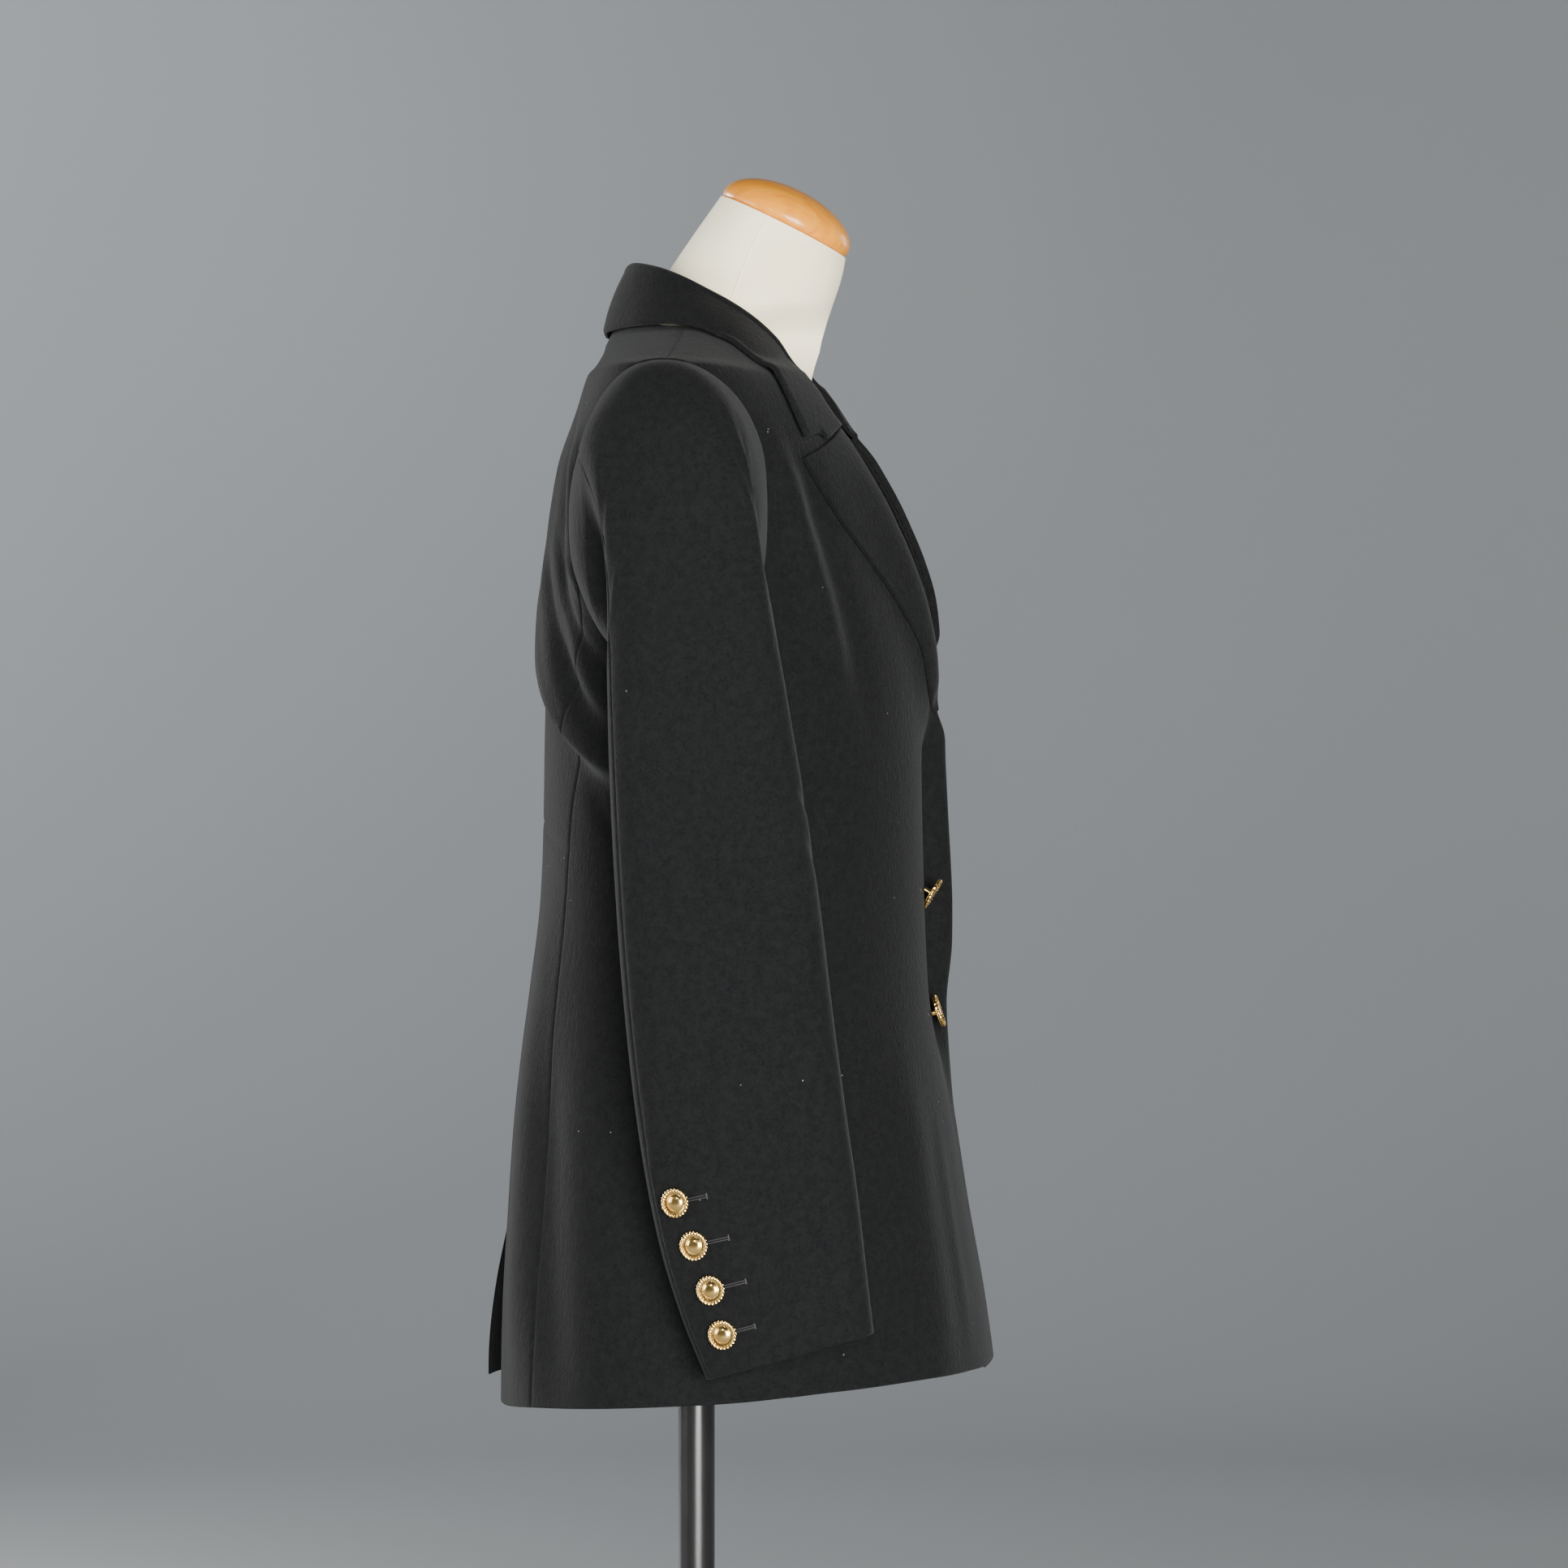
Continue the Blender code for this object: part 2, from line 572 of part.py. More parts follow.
def cloth_wall(name, grid, thickness, mirror=False, material=None):
    """A closed wall: the grid's points outside, and the same moved inwards along the normals.

    The grid's rows run so that row direction x column direction points outwards.
    """
    if mirror:
        flip = Matrix.Diagonal((-1, 1, 1))
        grid = [[(flip @ place, flip @ normal) for place, normal in reversed(row)] for row in grid]
    bm = bmesh.new()
    outer = [[bm.verts.new(place) for place, _ in row] for row in grid]
    inner = [[bm.verts.new(place - normal * thickness) for place, normal in row] for row in grid]
    rows, columns = len(grid), len(grid[0])
    for i in range(rows - 1):
        for j in range(columns - 1):
            bm.faces.new((outer[i][j], outer[i][j + 1], outer[i + 1][j + 1], outer[i + 1][j]))
            bm.faces.new((inner[i][j], inner[i + 1][j], inner[i + 1][j + 1], inner[i][j + 1]))
    border = [(0, j) for j in range(columns)]
    border += [(i, columns - 1) for i in range(1, rows)]
    border += [(rows - 1, j) for j in range(columns - 2, -1, -1)]
    border += [(i, 0) for i in range(rows - 2, 0, -1)]
    for (i, j), (k, m) in zip(border, border[1:] + border[:1]):
        bm.faces.new((outer[k][m], outer[i][j], inner[i][j], inner[k][m]))
    bmesh.ops.recalc_face_normals(bm, faces=bm.faces)
    return new_object(name, bm, material)


def patch_between(bottom, top, outer, inner, rows):
    """Rows of (x, height) that blend four border lines, for a panel above the join."""
    last = len(bottom) - 1
    result = []
    for k in range(1, rows + 1):
        v = k / rows
        row = []
        for j in range(last + 1):
            q = j / last
            x = (1 - v) * bottom[j][0] + v * top[j][0] + (1 - q) * outer[k][0] + q * inner[k][0]
            z = (1 - v) * bottom[j][1] + v * top[j][1] + (1 - q) * outer[k][1] + q * inner[k][1]
            x -= (1 - v) * ((1 - q) * bottom[0][0] + q * bottom[-1][0])
            x -= v * ((1 - q) * top[0][0] + q * top[-1][0])
            z -= (1 - v) * ((1 - q) * bottom[0][1] + q * bottom[-1][1])
            z -= v * ((1 - q) * top[0][1] + q * top[-1][1])
            row.append((x, z))
        result.append(row)
    return result


def shoulder_seam(columns):
    """Points (x, height) from the armhole's top to the neck, on the shoulder's ridge."""
    top_x, _, top_height = armhole(0)
    neck_x, neck_height = back_neck(1)
    result = []
    for j in range(columns + 1):
        height = top_height + (neck_height - top_height) * j / columns
        result.append((body_ring(height)[0], height))
    result[0] = (top_x, top_height)
    result[-1] = (neck_x, neck_height)
    return result


def arm_rows():
    return range(ARM_JOIN, -1, -ARM_STEP)


def back_grid(left):
    """Rows from the hem up, columns from the side to the centre back."""
    grid = []
    for share in LOWER_ROWS:
        row = []
        for j in range(BACK_COLUMNS + 1):
            q = j / BACK_COLUMNS
            angle = seam_angle(0.9, False) * (1 - q)
            height = hem_height(angle)[0]
            if left:
                height += LEFT_VENT_RAISE * bell(angle, VENT_RAISE_TURN)
            height += (JOIN_HEIGHT - height) * share
            angle = seam_angle(height, False) * (1 - q)
            x, fore = on_ring(angle, height)
            open_by = VENT_OPEN * smooth((VENT_TOP - height) / VENT_FADE) * bell(x, VENT_OPEN_REACH)
            row.append(body_point(x + open_by, fore, height, left))
        grid.append(row)
    bottom = []
    for j in range(BACK_COLUMNS + 1):
        q = j / BACK_COLUMNS
        bottom.append((on_ring(seam_angle(JOIN_HEIGHT, False) * (1 - q), JOIN_HEIGHT)[0], JOIN_HEIGHT))
    outer = [(armhole(angle)[0], armhole(angle)[2]) for angle in arm_rows()]
    steps = len(outer) - 1
    inner = [tuple(back_neck(k / steps)) for k in range(steps + 1)]
    for row in patch_between(bottom, shoulder_seam(BACK_COLUMNS), outer, inner, steps):
        points = []
        for x, height in row:
            x = min(x, body_ring(height)[0])
            points.append(body_point(x, fore_at(x, height, True), height, left))
        grid.append(points)
    return grid


def side_grid(left):
    """Rows from the hem to the armhole's bottom, columns from the front to the back seam."""
    angles = [-ARM_JOIN - (360 - 2 * ARM_JOIN) * j / SIDE_COLUMNS for j in range(SIDE_COLUMNS + 1)]
    grid = []
    for share in LOWER_ROWS:
        row = []
        for j, arm_angle in enumerate(angles):
            q = j / SIDE_COLUMNS
            top_x, top_fore, top = armhole(arm_angle)
            around = seam_angle(0.9, True) * (1 - q) + seam_angle(0.9, False) * q
            hem = hem_height(around)[0]
            height = hem + (top - hem) * share
            ends = seam_angle(height, True) * (1 - q) + seam_angle(height, False) * q
            goal = angle_at(top_fore, top)
            base = seam_angle(top, True) * (1 - q) + seam_angle(top, False) * q
            angle = ends + (goal - base) * smooth((share - 0.5) / 0.5)
            x, fore = on_ring(angle, height)
            row.append(body_point(x, fore, height, left))
        grid.append(row)
    return grid


def front_row(height_of):
    """One row of a front below the join, from the free edge to the side seam."""
    main = FRONT_COLUMNS - FRONT_EDGE_COLUMNS
    row = []
    for j in range(FRONT_COLUMNS + 1):
        if j <= FRONT_EDGE_COLUMNS:
            height = height_of(180)
            edge = front_edge(height)[0]
            x = edge + (FRONT_EDGE_START - edge) * j / FRONT_EDGE_COLUMNS
            row.append((x, fore_at(x, height, False), height))
            continue
        share = (j - FRONT_EDGE_COLUMNS) / main
        height = height_of(180)
        start = angle_at(fore_at(FRONT_EDGE_START, height, False), height)
        guess = start + (seam_angle(height, True) - start) * share
        height = height_of(guess)
        angle = start + (seam_angle(height, True) - start) * share
        x, fore = on_ring(angle, height)
        row.append((x, fore, height))
    return row


def front_grid(left):
    """Rows from the hem up, columns from the centre front to the side."""
    grid = []
    flat = []
    for share in LOWER_ROWS:
        flat = front_row(lambda a: hem_height(a)[0] + (FRONT_JOIN_HEIGHT - hem_height(a)[0]) * share)
        grid.append([body_point(x, fore, height, left) for x, fore, height in flat])
    bottom = [(x, height) for x, fore, height in flat]
    outer = [(armhole(-angle)[0], armhole(-angle)[2]) for angle in arm_rows()]
    steps = len(outer) - 1
    start = bottom[0][1]
    neck = back_neck(1)[1]
    inner = []
    for k in range(steps + 1):
        height = start + (neck - start) * (k / steps) ** 0.9
        inner.append((front_edge(height)[0], height))
    top = list(reversed(shoulder_seam(FRONT_COLUMNS)))
    for row in patch_between(bottom, top, inner, outer, steps):
        points = []
        for x, height in row:
            x = min(x, body_ring(height)[0])
            points.append(body_point(x, fore_at(x, height, False), height, left))
        grid.append(points)
    return grid


def sleeve_base(angle, share):
    """A point of the sleeve; the angle runs from the outer line towards the back."""
    outer_x, outer_z, inner_x, inner_z, back, front, rise, square = sleeve_ring(share)
    out = math.cos(math.radians(angle))
    aft = math.sin(math.radians(angle))
    out = math.copysign(abs(out) ** (2 / square), out)
    aft = math.copysign(abs(aft) ** (2 / square), aft)
    half = (front - back) / 2
    fore = (front + back) / 2 - half * aft
    x = (outer_x + inner_x) / 2 + (outer_x - inner_x) / 2 * out
    height = (outer_z + inner_z) / 2 + (outer_z - inner_z) / 2 * out - rise * half * aft
    return point(x, fore, height)


def sleeve_place(angle, share, left):
    place = sleeve_base(angle, share)
    if share >= ARMHOLE_BLEND:
        return place
    x, fore, height = armhole(angle, SLEEVE_OVER_EDGE)
    seat, _ = body_point(x, fore, height, left, SEAT_GAP)
    keep = (1 - share / ARMHOLE_BLEND) ** 2
    return place + (seat - sleeve_base(angle, 0)) * keep


def sleeve_normal(angle, share, left):
    turn = 2.0
    slide = 0.004
    low, high = max(share - slide, 0), min(share + slide, 1)
    around = sleeve_place(angle + turn, share, left) - sleeve_place(angle - turn, share, left)
    along = sleeve_place(angle, high, left) - sleeve_place(angle, low, left)
    normal = along.cross(around).normalized()
    if share < SEWN_SHARE:
        body = body_normal(*armhole(angle, SLEEVE_OVER_EDGE))
        normal -= body * normal.dot(body) * (1 - share / SEWN_SHARE)
    return normal.normalized()


def sleeve_point(angle, share, left):
    normal = sleeve_normal(angle, share, left)
    relief = 0.0
    for crease in SLEEVE_CREASES:
        turn = (angle - crease.angle + 180) % 360 - 180
        spread = bell(turn, crease.angle_reach) * bell(share - crease.place, crease.length_reach)
        relief += crease.depth * spread
    relief *= smooth(share / 0.08)
    return sleeve_place(angle, share, left) + normal * relief, normal


def sleeve_grid(first, last, steps, left):
    """Rows down the sleeve, columns round it from one seam to the other."""
    angles = [first + (last - first) * j / steps for j in range(steps + 1)]
    return [[sleeve_point(angle, share, left) for angle in angles] for share in SLEEVE_ROWS]


def stand_clear(place, clear):
    """Moves a point out along the body's normal until it is clear of the jacket."""
    left = place.x > 0
    step = 0.0005
    for _ in range(3):
        x, fore, height = abs(place.x), -place.y, place.z
        side = body_ring(height)[2]
        rise = (ring_level(x + step, fore, height) - ring_level(x - step, fore, height)) / (2 * step)
        run = (ring_level(x, fore + step, height) - ring_level(x, fore - step, height)) / (2 * step)
        climb = (ring_level(x, fore, height + step) - ring_level(x, fore, height - step)) / (2 * step)
        gradient = Vector((rise, -run, climb))
        away = (ring_level(x, fore, height) - 1) / gradient.length
        relief = fold_relief(x, fore, height, side)
        if fore > side:
            relief += smooth((fore - side) / FRONT_FADE) * front_lift(x, height, left)
        short = (relief + clear - away) * smooth((NECK_TOP - height) / NECK_FADE)
        if short > 0:
            normal = gradient.normalized()
            if place.x < 0:
                normal.x = -normal.x
            place = place + normal * short
    return place


def collar_line(share):
    """One section of the collar: up the stand, over the fold and down the fall."""
    values = collar_section(abs(share))
    sign = -1 if share < 0 else 1
    seam, fold, edge = (point(sign * values[i], values[i + 1], values[i + 2]) for i in (0, 3, 6))
    out = (edge - seam)
    out.z = 0
    out = out.normalized() if out.length > 0.002 else Vector((0, 1, 0))
    radius = COLLAR_FOLD_RADIUS
    flat = smooth((abs(share) - COLLAR_FLAT_START) / COLLAR_FLAT_FADE)
    gorge = GORGE_DROP * smooth((abs(share) - GORGE_START) / GORGE_FADE)
    centre = fold - Vector((0, 0, COLLAR_CLOTH / 2 + radius))
    inside = centre - out * radius
    outside = centre + out * radius
    line = [seam, seam.lerp(inside, 0.6), inside]
    line = [place.lerp(stand_clear(place, STAND_CLEAR), flat) for place in line]
    for turn in (135, 90, 45):
        swing = math.radians(turn)
        rounded = centre + out * radius * math.cos(swing) + Vector((0, 0, radius * math.sin(swing)))
        line.append(rounded.lerp(stand_clear(rounded, COLLAR_CLEAR), flat))
    for k in range(COLLAR_FALL_POINTS + 1):
        t = k / COLLAR_FALL_POINTS
        bow = 4 * t * (1 - t) * COLLAR_FALL_BOW
        place = outside.lerp(edge, t) + out * bow
        place.z -= gorge * math.sin(math.pi * t)
        line.append(stand_clear(place, COLLAR_CLEAR + COLLAR_FALL_MORE * flat))
    return line


def grid_normals(lines, sign=1):
    """Normals of a grid of points by its neighbours, for walls not made on the body."""
    rows, columns = len(lines), len(lines[0])
    grid = []
    for i in range(rows):
        row = []
        for j in range(columns):
            down = lines[min(i + 1, rows - 1)][j] - lines[max(i - 1, 0)][j]
            across = lines[i][min(j + 1, columns - 1)] - lines[i][max(j - 1, 0)]
            row.append((lines[i][j], down.cross(across).normalized() * sign))
        grid.append(row)
    return grid


def lapel_grid(left):
    """Rows from the break up to the gorge, columns from the roll line to the outer edge."""
    grid = []
    for i in range(LAPEL_STEPS + 1):
        t = i / LAPEL_STEPS
        roll_x, roll_z, edge_x, edge_z = lapel_row(t)
        row = []
        for j in range(LAPEL_COLUMNS + 1):
            q = j / LAPEL_COLUMNS
            x = roll_x + (edge_x - roll_x) * q
            height = roll_z + (edge_z - roll_z) * q
            lift = LAPEL_LIFT + (ROLL_LIFT - LAPEL_LIFT) * (1 - q)
            lift += LAPEL_BOW * math.sin(math.pi * q)
            if left:
                lift += LEFT_LAPEL_MORE
            row.append(body_point(x, fore_at(x, height, False), height, left, lift))
        grid.append(row)
    return grid


def material(name, color, roughness, metallic=0.0):
    made = bpy.data.materials.new(name)
    made.use_nodes = True
    shader = made.node_tree.nodes["Principled BSDF"]
    shader.inputs["Base Color"].default_value = (*color, 1)
    shader.inputs["Roughness"].default_value = roughness
    shader.inputs["Metallic"].default_value = metallic
    return made


def turned(name, profile, sides, finish, matrix=None, ring=False):
    """A solid turned about its own Z axis from an outline of (radius, height), top first."""
    mesh = bpy.data.meshes.new(name)
    edges = [(i, i + 1) for i in range(len(profile) - 1)]
    if ring:
        edges.append((len(profile) - 1, 0))
    mesh.from_pydata([(radius, 0, height) for radius, height in profile], edges, [])
    mesh.materials.append(finish)
    obj = bpy.data.objects.new(name, mesh)
    parts.objects.link(obj)
    screw = obj.modifiers.new("Turn", "SCREW")
    screw.steps = sides
    screw.render_steps = sides
    screw.use_merge_vertices = True
    screw.merge_threshold = 0.00005
    screw.use_smooth_shade = True
    if matrix is not None:
        obj.matrix_world = matrix
    return obj


def button_profile(radius, shank):
    """A domed button with a raised rim, on a shank that starts at height 0."""
    base = shank
    return (
        (0, base + 0.30 * radius),
        (0.30 * radius, base + 0.285 * radius),
        (0.58 * radius, base + 0.21 * radius),
        (0.72 * radius, base + 0.13 * radius),
        (0.80 * radius, base + 0.24 * radius),
        (0.93 * radius, base + 0.24 * radius),
        (radius, base + 0.12 * radius),
        (0.93 * radius, base),
        (SHANK_RADIUS, base),
        (SHANK_RADIUS, 0),
        (0, 0),
    )


def aim(place, axis, up=Vector((0, 0, 1))):
    """A matrix whose Z is the axis and whose origin is the place."""
    z = axis.normalized()
    x = up.cross(z).normalized()
    y = z.cross(x)
    turn = Matrix((x, y, z)).transposed().to_4x4()
    return Matrix.Translation(place) @ turn


def make_body():
    for left, side in ((False, "right"), (True, "left")):
        mirror = not left
        grid = tidy_edges(back_grid(left))
        cloth_wall(f"back_{side}", grid, CLOTH, mirror, wool)
        cloth_wall(f"side_panel_{side}", tidy_edges(side_grid(left)), CLOTH, mirror, wool)
        cloth_wall(f"front_{side}", tidy_edges(front_grid(left)), CLOTH, mirror, wool)


def make_sleeves():
    under_end = 360 - ARM_JOIN
    top_steps = round((HINDARM + ARM_JOIN) / ARM_STEP)
    for left, side in ((False, "right"), (True, "left")):
        mirror = not left
        top = sleeve_grid(HINDARM, -ARM_JOIN, top_steps, left)
        under = sleeve_grid(under_end, HINDARM, UNDER_COLUMNS, left)
        for name, grid in ((f"top_sleeve_{side}", top), (f"under_sleeve_{side}", under)):
            grid = tidy_edges(grid)
            cloth_wall(name, grid, CLOTH, mirror, wool)
        for k, (share, angle) in enumerate(CUFF_BUTTONS, 1):
            place, normal = sleeve_point(angle, share, left)
            if mirror:
                place.x = -place.x
                normal.x = -normal.x
            seat = aim(place + normal * FACE_GAP, normal)
            profile = button_profile(CUFF_BUTTON_RADIUS, CUFF_SHANK)
            turned(f"cuff_button_{side}_{k}", profile, BUTTON_SIDES, gold, seat)


def make_collar():
    shares = [i / COLLAR_STEPS for i in range(-COLLAR_STEPS, COLLAR_STEPS + 1)]
    lines = [collar_line(share) for share in shares]
    grid = grid_normals(lines)
    half = COLLAR_CLOTH / 2
    grid = [[(place + normal * half, normal) for place, normal in row] for row in grid]
    cloth_wall("collar", grid, COLLAR_CLOTH, False, wool)


def make_lapels():
    for left, side in ((False, "right"), (True, "left")):
        cloth_wall(f"lapel_{side}", lapel_grid(left), LAPEL_CLOTH, not left, wool)


def make_front_buttons():
    for k, (x, height, lean, shank) in enumerate(FRONT_BUTTONS, 1):
        place, normal = body_point(x, fore_at(x, height, False), height, False)
        tilt = math.radians(lean)
        axis = Vector((0, -math.cos(tilt), math.sin(tilt)))
        seat = place + normal * (FACE_GAP + SHANK_RADIUS * abs(math.sin(tilt)) + 0.0004)
        seat.x = -seat.x
        profile = button_profile(FRONT_BUTTON_RADIUS, shank)
        turned(f"front_button_{k}", profile, BUTTON_SIDES, gold, aim(seat, axis))


def make_form():
    rings = []
    for height, half_width, back, side, front, back_square, front_square in FORM_RINGS:
        ring = []
        for k in range(FORM_SIDES):
            swing = 2 * math.pi * k / FORM_SIDES
            across, along = math.sin(swing), math.cos(swing)
            square = back_square if along > 0 else front_square
            reach = side - back if along > 0 else front - side
            x = half_width * math.copysign(abs(across) ** (2 / square), across)
            ring.append(point(x, side - reach * math.copysign(abs(along) ** (2 / square), along), height))
        rings.append(ring)
    for back, back_z, front, front_z, half_width in NECK_RINGS:
        ring = []
        for k in range(FORM_SIDES):
            swing = 2 * math.pi * k / FORM_SIDES
            share = (1 - math.cos(swing)) / 2
            fore = back + (front - back) * share
            ring.append(point(half_width * math.sin(swing), fore, back_z + (front_z - back_z) * share))
        rings.append(ring)
    bm = bmesh.new()
    loops = [[bm.verts.new(place) for place in ring] for ring in rings]
    for low, high in zip(loops, loops[1:]):
        for k in range(FORM_SIDES):
            m = (k + 1) % FORM_SIDES
            bm.faces.new((low[k], low[m], high[m], high[k]))
    bm.faces.new(list(reversed(loops[0])))
    bm.faces.new(loops[-1])
    bmesh.ops.recalc_face_normals(bm, faces=bm.faces)
    new_object("form_torso", bm, canvas)

    back, back_z, front, front_z, _ = NECK_RINGS[-1]
    seat = point(0, (back + front) / 2, (back_z + front_z) / 2)
    slope = math.atan2(back_z - front_z, front - back)
    axis = Vector((0, -math.sin(slope), math.cos(slope)))
    cap = [(0, CAP_RIM + CAP_RISE)]
    for k in range(1, 7):
        swing = math.radians(15 * k)
        cap.append((CAP_RADIUS * math.sin(swing), CAP_RIM + CAP_RISE * math.cos(swing)))
    cap += [(CAP_RADIUS - 0.0012, 0), (0, 0)]
    turned("form_cap", cap, FORM_SIDES, varnished_wood, aim(seat + axis * CAP_GAP, axis, Vector((1, 0, 0))))

    low = FORM_RINGS[0][0]
    pole_low = BASE_THICK + FACE_GAP
    pole = [(0, low - FACE_GAP), (POLE_RADIUS, low - FACE_GAP), (POLE_RADIUS, pole_low), (0, pole_low)]
    turned("form_pole", pole, 24, black_metal)
    base = [(0, BASE_THICK), (BASE_RADIUS - 0.006, BASE_THICK), (BASE_RADIUS - 0.002, BASE_THICK - 0.002),
            (BASE_RADIUS, BASE_THICK - 0.006), (BASE_RADIUS, 0), (0, 0)]
    turned("form_base", base, 40, black_metal)
    inner = POLE_RADIUS + FACE_GAP
    socket = [(inner, pole_low), (inner, SOCKET_TOP), (SOCKET_RADIUS - 0.003, SOCKET_TOP),
              (SOCKET_RADIUS, SOCKET_TOP - 0.003), (SOCKET_RADIUS, pole_low)]
    turned("form_socket", socket, 24, black_metal, ring=True)


for old in list(bpy.data.objects):
    bpy.data.objects.remove(old)
parts = bpy.data.collections.new("Blazer on dress form")
bpy.context.scene.collection.children.link(parts)

wool = material("Black wool", (0.018, 0.019, 0.021), 0.9)
gold = material("Gold metal", (0.83, 0.62, 0.30), 0.25, 1.0)
canvas = material("Cream canvas", (0.84, 0.80, 0.70), 0.85)
varnished_wood = material("Varnished wood", (0.55, 0.26, 0.06), 0.25)
black_metal = material("Black metal", (0.01, 0.01, 0.011), 0.2)

make_body()
make_sleeves()
make_collar()
make_lapels()
make_front_buttons()
make_form()
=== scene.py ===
"""Looks of the blazer on its dress form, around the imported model. Metres, +Z up.

The jacket's front faces -Y, so fore means -y, and the wearer's right is -X. Tables give
one half of the jacket, with x measured outwards. The cloth pieces follow the same rings,
sections and folds as their solids, on a much finer grid.
"""
import math
from collections import namedtuple

import bpy
import bmesh
import numpy as np
from mathutils import Matrix, Vector


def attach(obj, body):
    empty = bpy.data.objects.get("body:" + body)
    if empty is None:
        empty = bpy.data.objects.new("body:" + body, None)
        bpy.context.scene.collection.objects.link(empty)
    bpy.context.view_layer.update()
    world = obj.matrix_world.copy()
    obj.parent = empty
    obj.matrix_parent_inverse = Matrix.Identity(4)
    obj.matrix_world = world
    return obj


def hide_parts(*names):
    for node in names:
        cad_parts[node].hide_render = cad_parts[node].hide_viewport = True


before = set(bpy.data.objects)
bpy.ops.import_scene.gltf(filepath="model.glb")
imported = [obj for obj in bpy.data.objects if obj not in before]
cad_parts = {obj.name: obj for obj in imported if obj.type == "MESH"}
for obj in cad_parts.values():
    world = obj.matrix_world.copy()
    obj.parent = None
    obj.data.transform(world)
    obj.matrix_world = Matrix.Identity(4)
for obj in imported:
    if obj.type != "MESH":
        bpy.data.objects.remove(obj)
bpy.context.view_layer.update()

# Cloth
CLOTH = 0.0018
LAPEL_CLOTH = 0.0024
COLLAR_CLOTH = 0.0026
SEAT_GAP = 0.0009
GRID_STEP = 0.0030
CLOSE_LINES = (0, 0.0005, 0.0011, 0.0019, 0.0030)
EDGE_ROUND = 0.0012
EDGE_STEEP = 0.96
# Lengths along the cloth that the grids are spaced over
BACK_LENGTH, BACK_ACROSS = 0.52, 0.19
SIDE_LENGTH, SIDE_ACROSS = 0.50, 0.17
FRONT_LENGTH, FRONT_ACROSS = 0.50, 0.24
UPPER_LENGTH = 0.22
SLEEVE_LENGTH, TOP_SLEEVE_ACROSS, UNDER_SLEEVE_ACROSS = 0.60, 0.17, 0.15
LAPEL_LENGTH, LAPEL_ACROSS, LAPEL_STEP = 0.21, 0.08, 0.0024
# Seams, as how deep the cloth sinks into them and over what reach
PLAIN_SEAM = (0.0007, 0.0014)
SHOULDER_SEAM = (0.0004, 0.0012)
ARMHOLE_SEAM = (0.0016, 0.0060)

# Front
OVERLAP = 0.022
UNDERLAP_INSET = 0.0075
ROLL_LIFT = 0.0040
LAPEL_LIFT = 0.0036
LEFT_LAPEL_MORE = 0.0004

# Armhole, seen from the side
ARM_HEIGHT = 1.2435
ARM_FORE = 0.006
ARM_HALF_HEIGHT = 0.0915
ARM_BACK = 0.058
ARM_FRONT = 0.059
ARM_ROUND = 2.2
ARM_JOIN = 112
HINDARM = 66
SLEEVE_OVER_EDGE = 0.0026
SEAM_HEM_HEIGHT = 0.9
SEAM_TURN_HEIGHT = 1.06
SIDE_TURN_SHARE = 0.5

# Buttons
CUFF_BUTTON_RADIUS = 0.009
FRONT_BUTTON_RADIUS = 0.011
SHANK_RADIUS = 0.0020
SHANK_GAP = 0.0004
CUFF_BUTTONS = ((0.8565, 40.5), (0.892, 33), (0.929, 29.5), (0.9665, 31))
CUFF_SHANK = 0.0016
FRONT_BUTTONS = ((0.010, 1.0125, -32, 0.0045), (0.008, 0.9330, 19, 0.0030))
BUTTON_SIDES = 64
ROPE_TURNS = 24
ROPE_STEPS = 8
ROPE_SIDES = 12
ROPE_WAVE = 0.25
TUBE_SIDES = 8
ROPE_RADIUS = 0.860
ROPE_THICK = 0.112
ROPE_HEIGHT = 0.150
# Radius and height of a button's outline, in button radii: dome, recessed ring, rim, back
BUTTON_OUTLINE = (
    (0, 0.300), (0.10, 0.2975), (0.20, 0.289), (0.30, 0.273), (0.38, 0.251), (0.45, 0.222),
    (0.50, 0.193), (0.53, 0.168), (0.55, 0.150), (0.58, 0.143), (0.62, 0.143), (0.67, 0.150),
    (0.72, 0.162), (0.76, 0.165), (0.80, 0.155), (0.88, 0.120), (0.95, 0.085), (0.965, 0.050),
    (0.94, 0.020), (0.88, 0.0),
)

# Buttonholes, and the sleeve's radius and length that place them
HOLE_LENGTH = 0.0190
FRONT_HOLE_LENGTH = 0.024
FRONT_HOLE_SET_BACK = 0.001
HOLE_WIDTH = 0.0013
HOLE_EYE = 0.0022
HOLE_THREAD = 0.00055
HOLE_LIFT = 0.0002
HOLE_BAR = 0.0034
HOLE_BAR_THICK = 1.3
SLEEVE_RADIUS = 0.0505
SLEEVE_METRES = 0.70

# Dress form
CAP_RADIUS = 0.0448
CAP_RIM = 0.004
CAP_RISE = 0.0215
CAP_GAP = 0.0004
# How far in from the cap's radius and how high its rounded foot lies
CAP_FOOT = ((0.0002, 0.0022), (0.0007, 0.0008), (0.0016, 0))
POLE_RADIUS = 0.0118
BASE_RADIUS = 0.170
BASE_THICK = 0.014
SOCKET_RADIUS = 0.021
SOCKET_TOP = 0.075
FACE_GAP = 0.0003
BASE_EDGE = 0.005
BASE_RING = 0.03
SOCKET_EDGE = 0.003
FOOT_EDGE = 0.0008
FORM_SIDES = 120
# Levels of the torso's rings: first height, last height and count, at its lower edge and above
FORM_LEVELS = ((0.7600, 0.7740, 8), (0.7800, 1.3590, 110))
TURNED_SIDES = 96
NECK_STEPS = 5
NECK_SEAM_LOW = 96
NECK_SEAM_TOP = 84
NECK_SEAM_THICK = 0.0006
NECK_SQUARE = 1.0
NECK_BLEND = 2.0

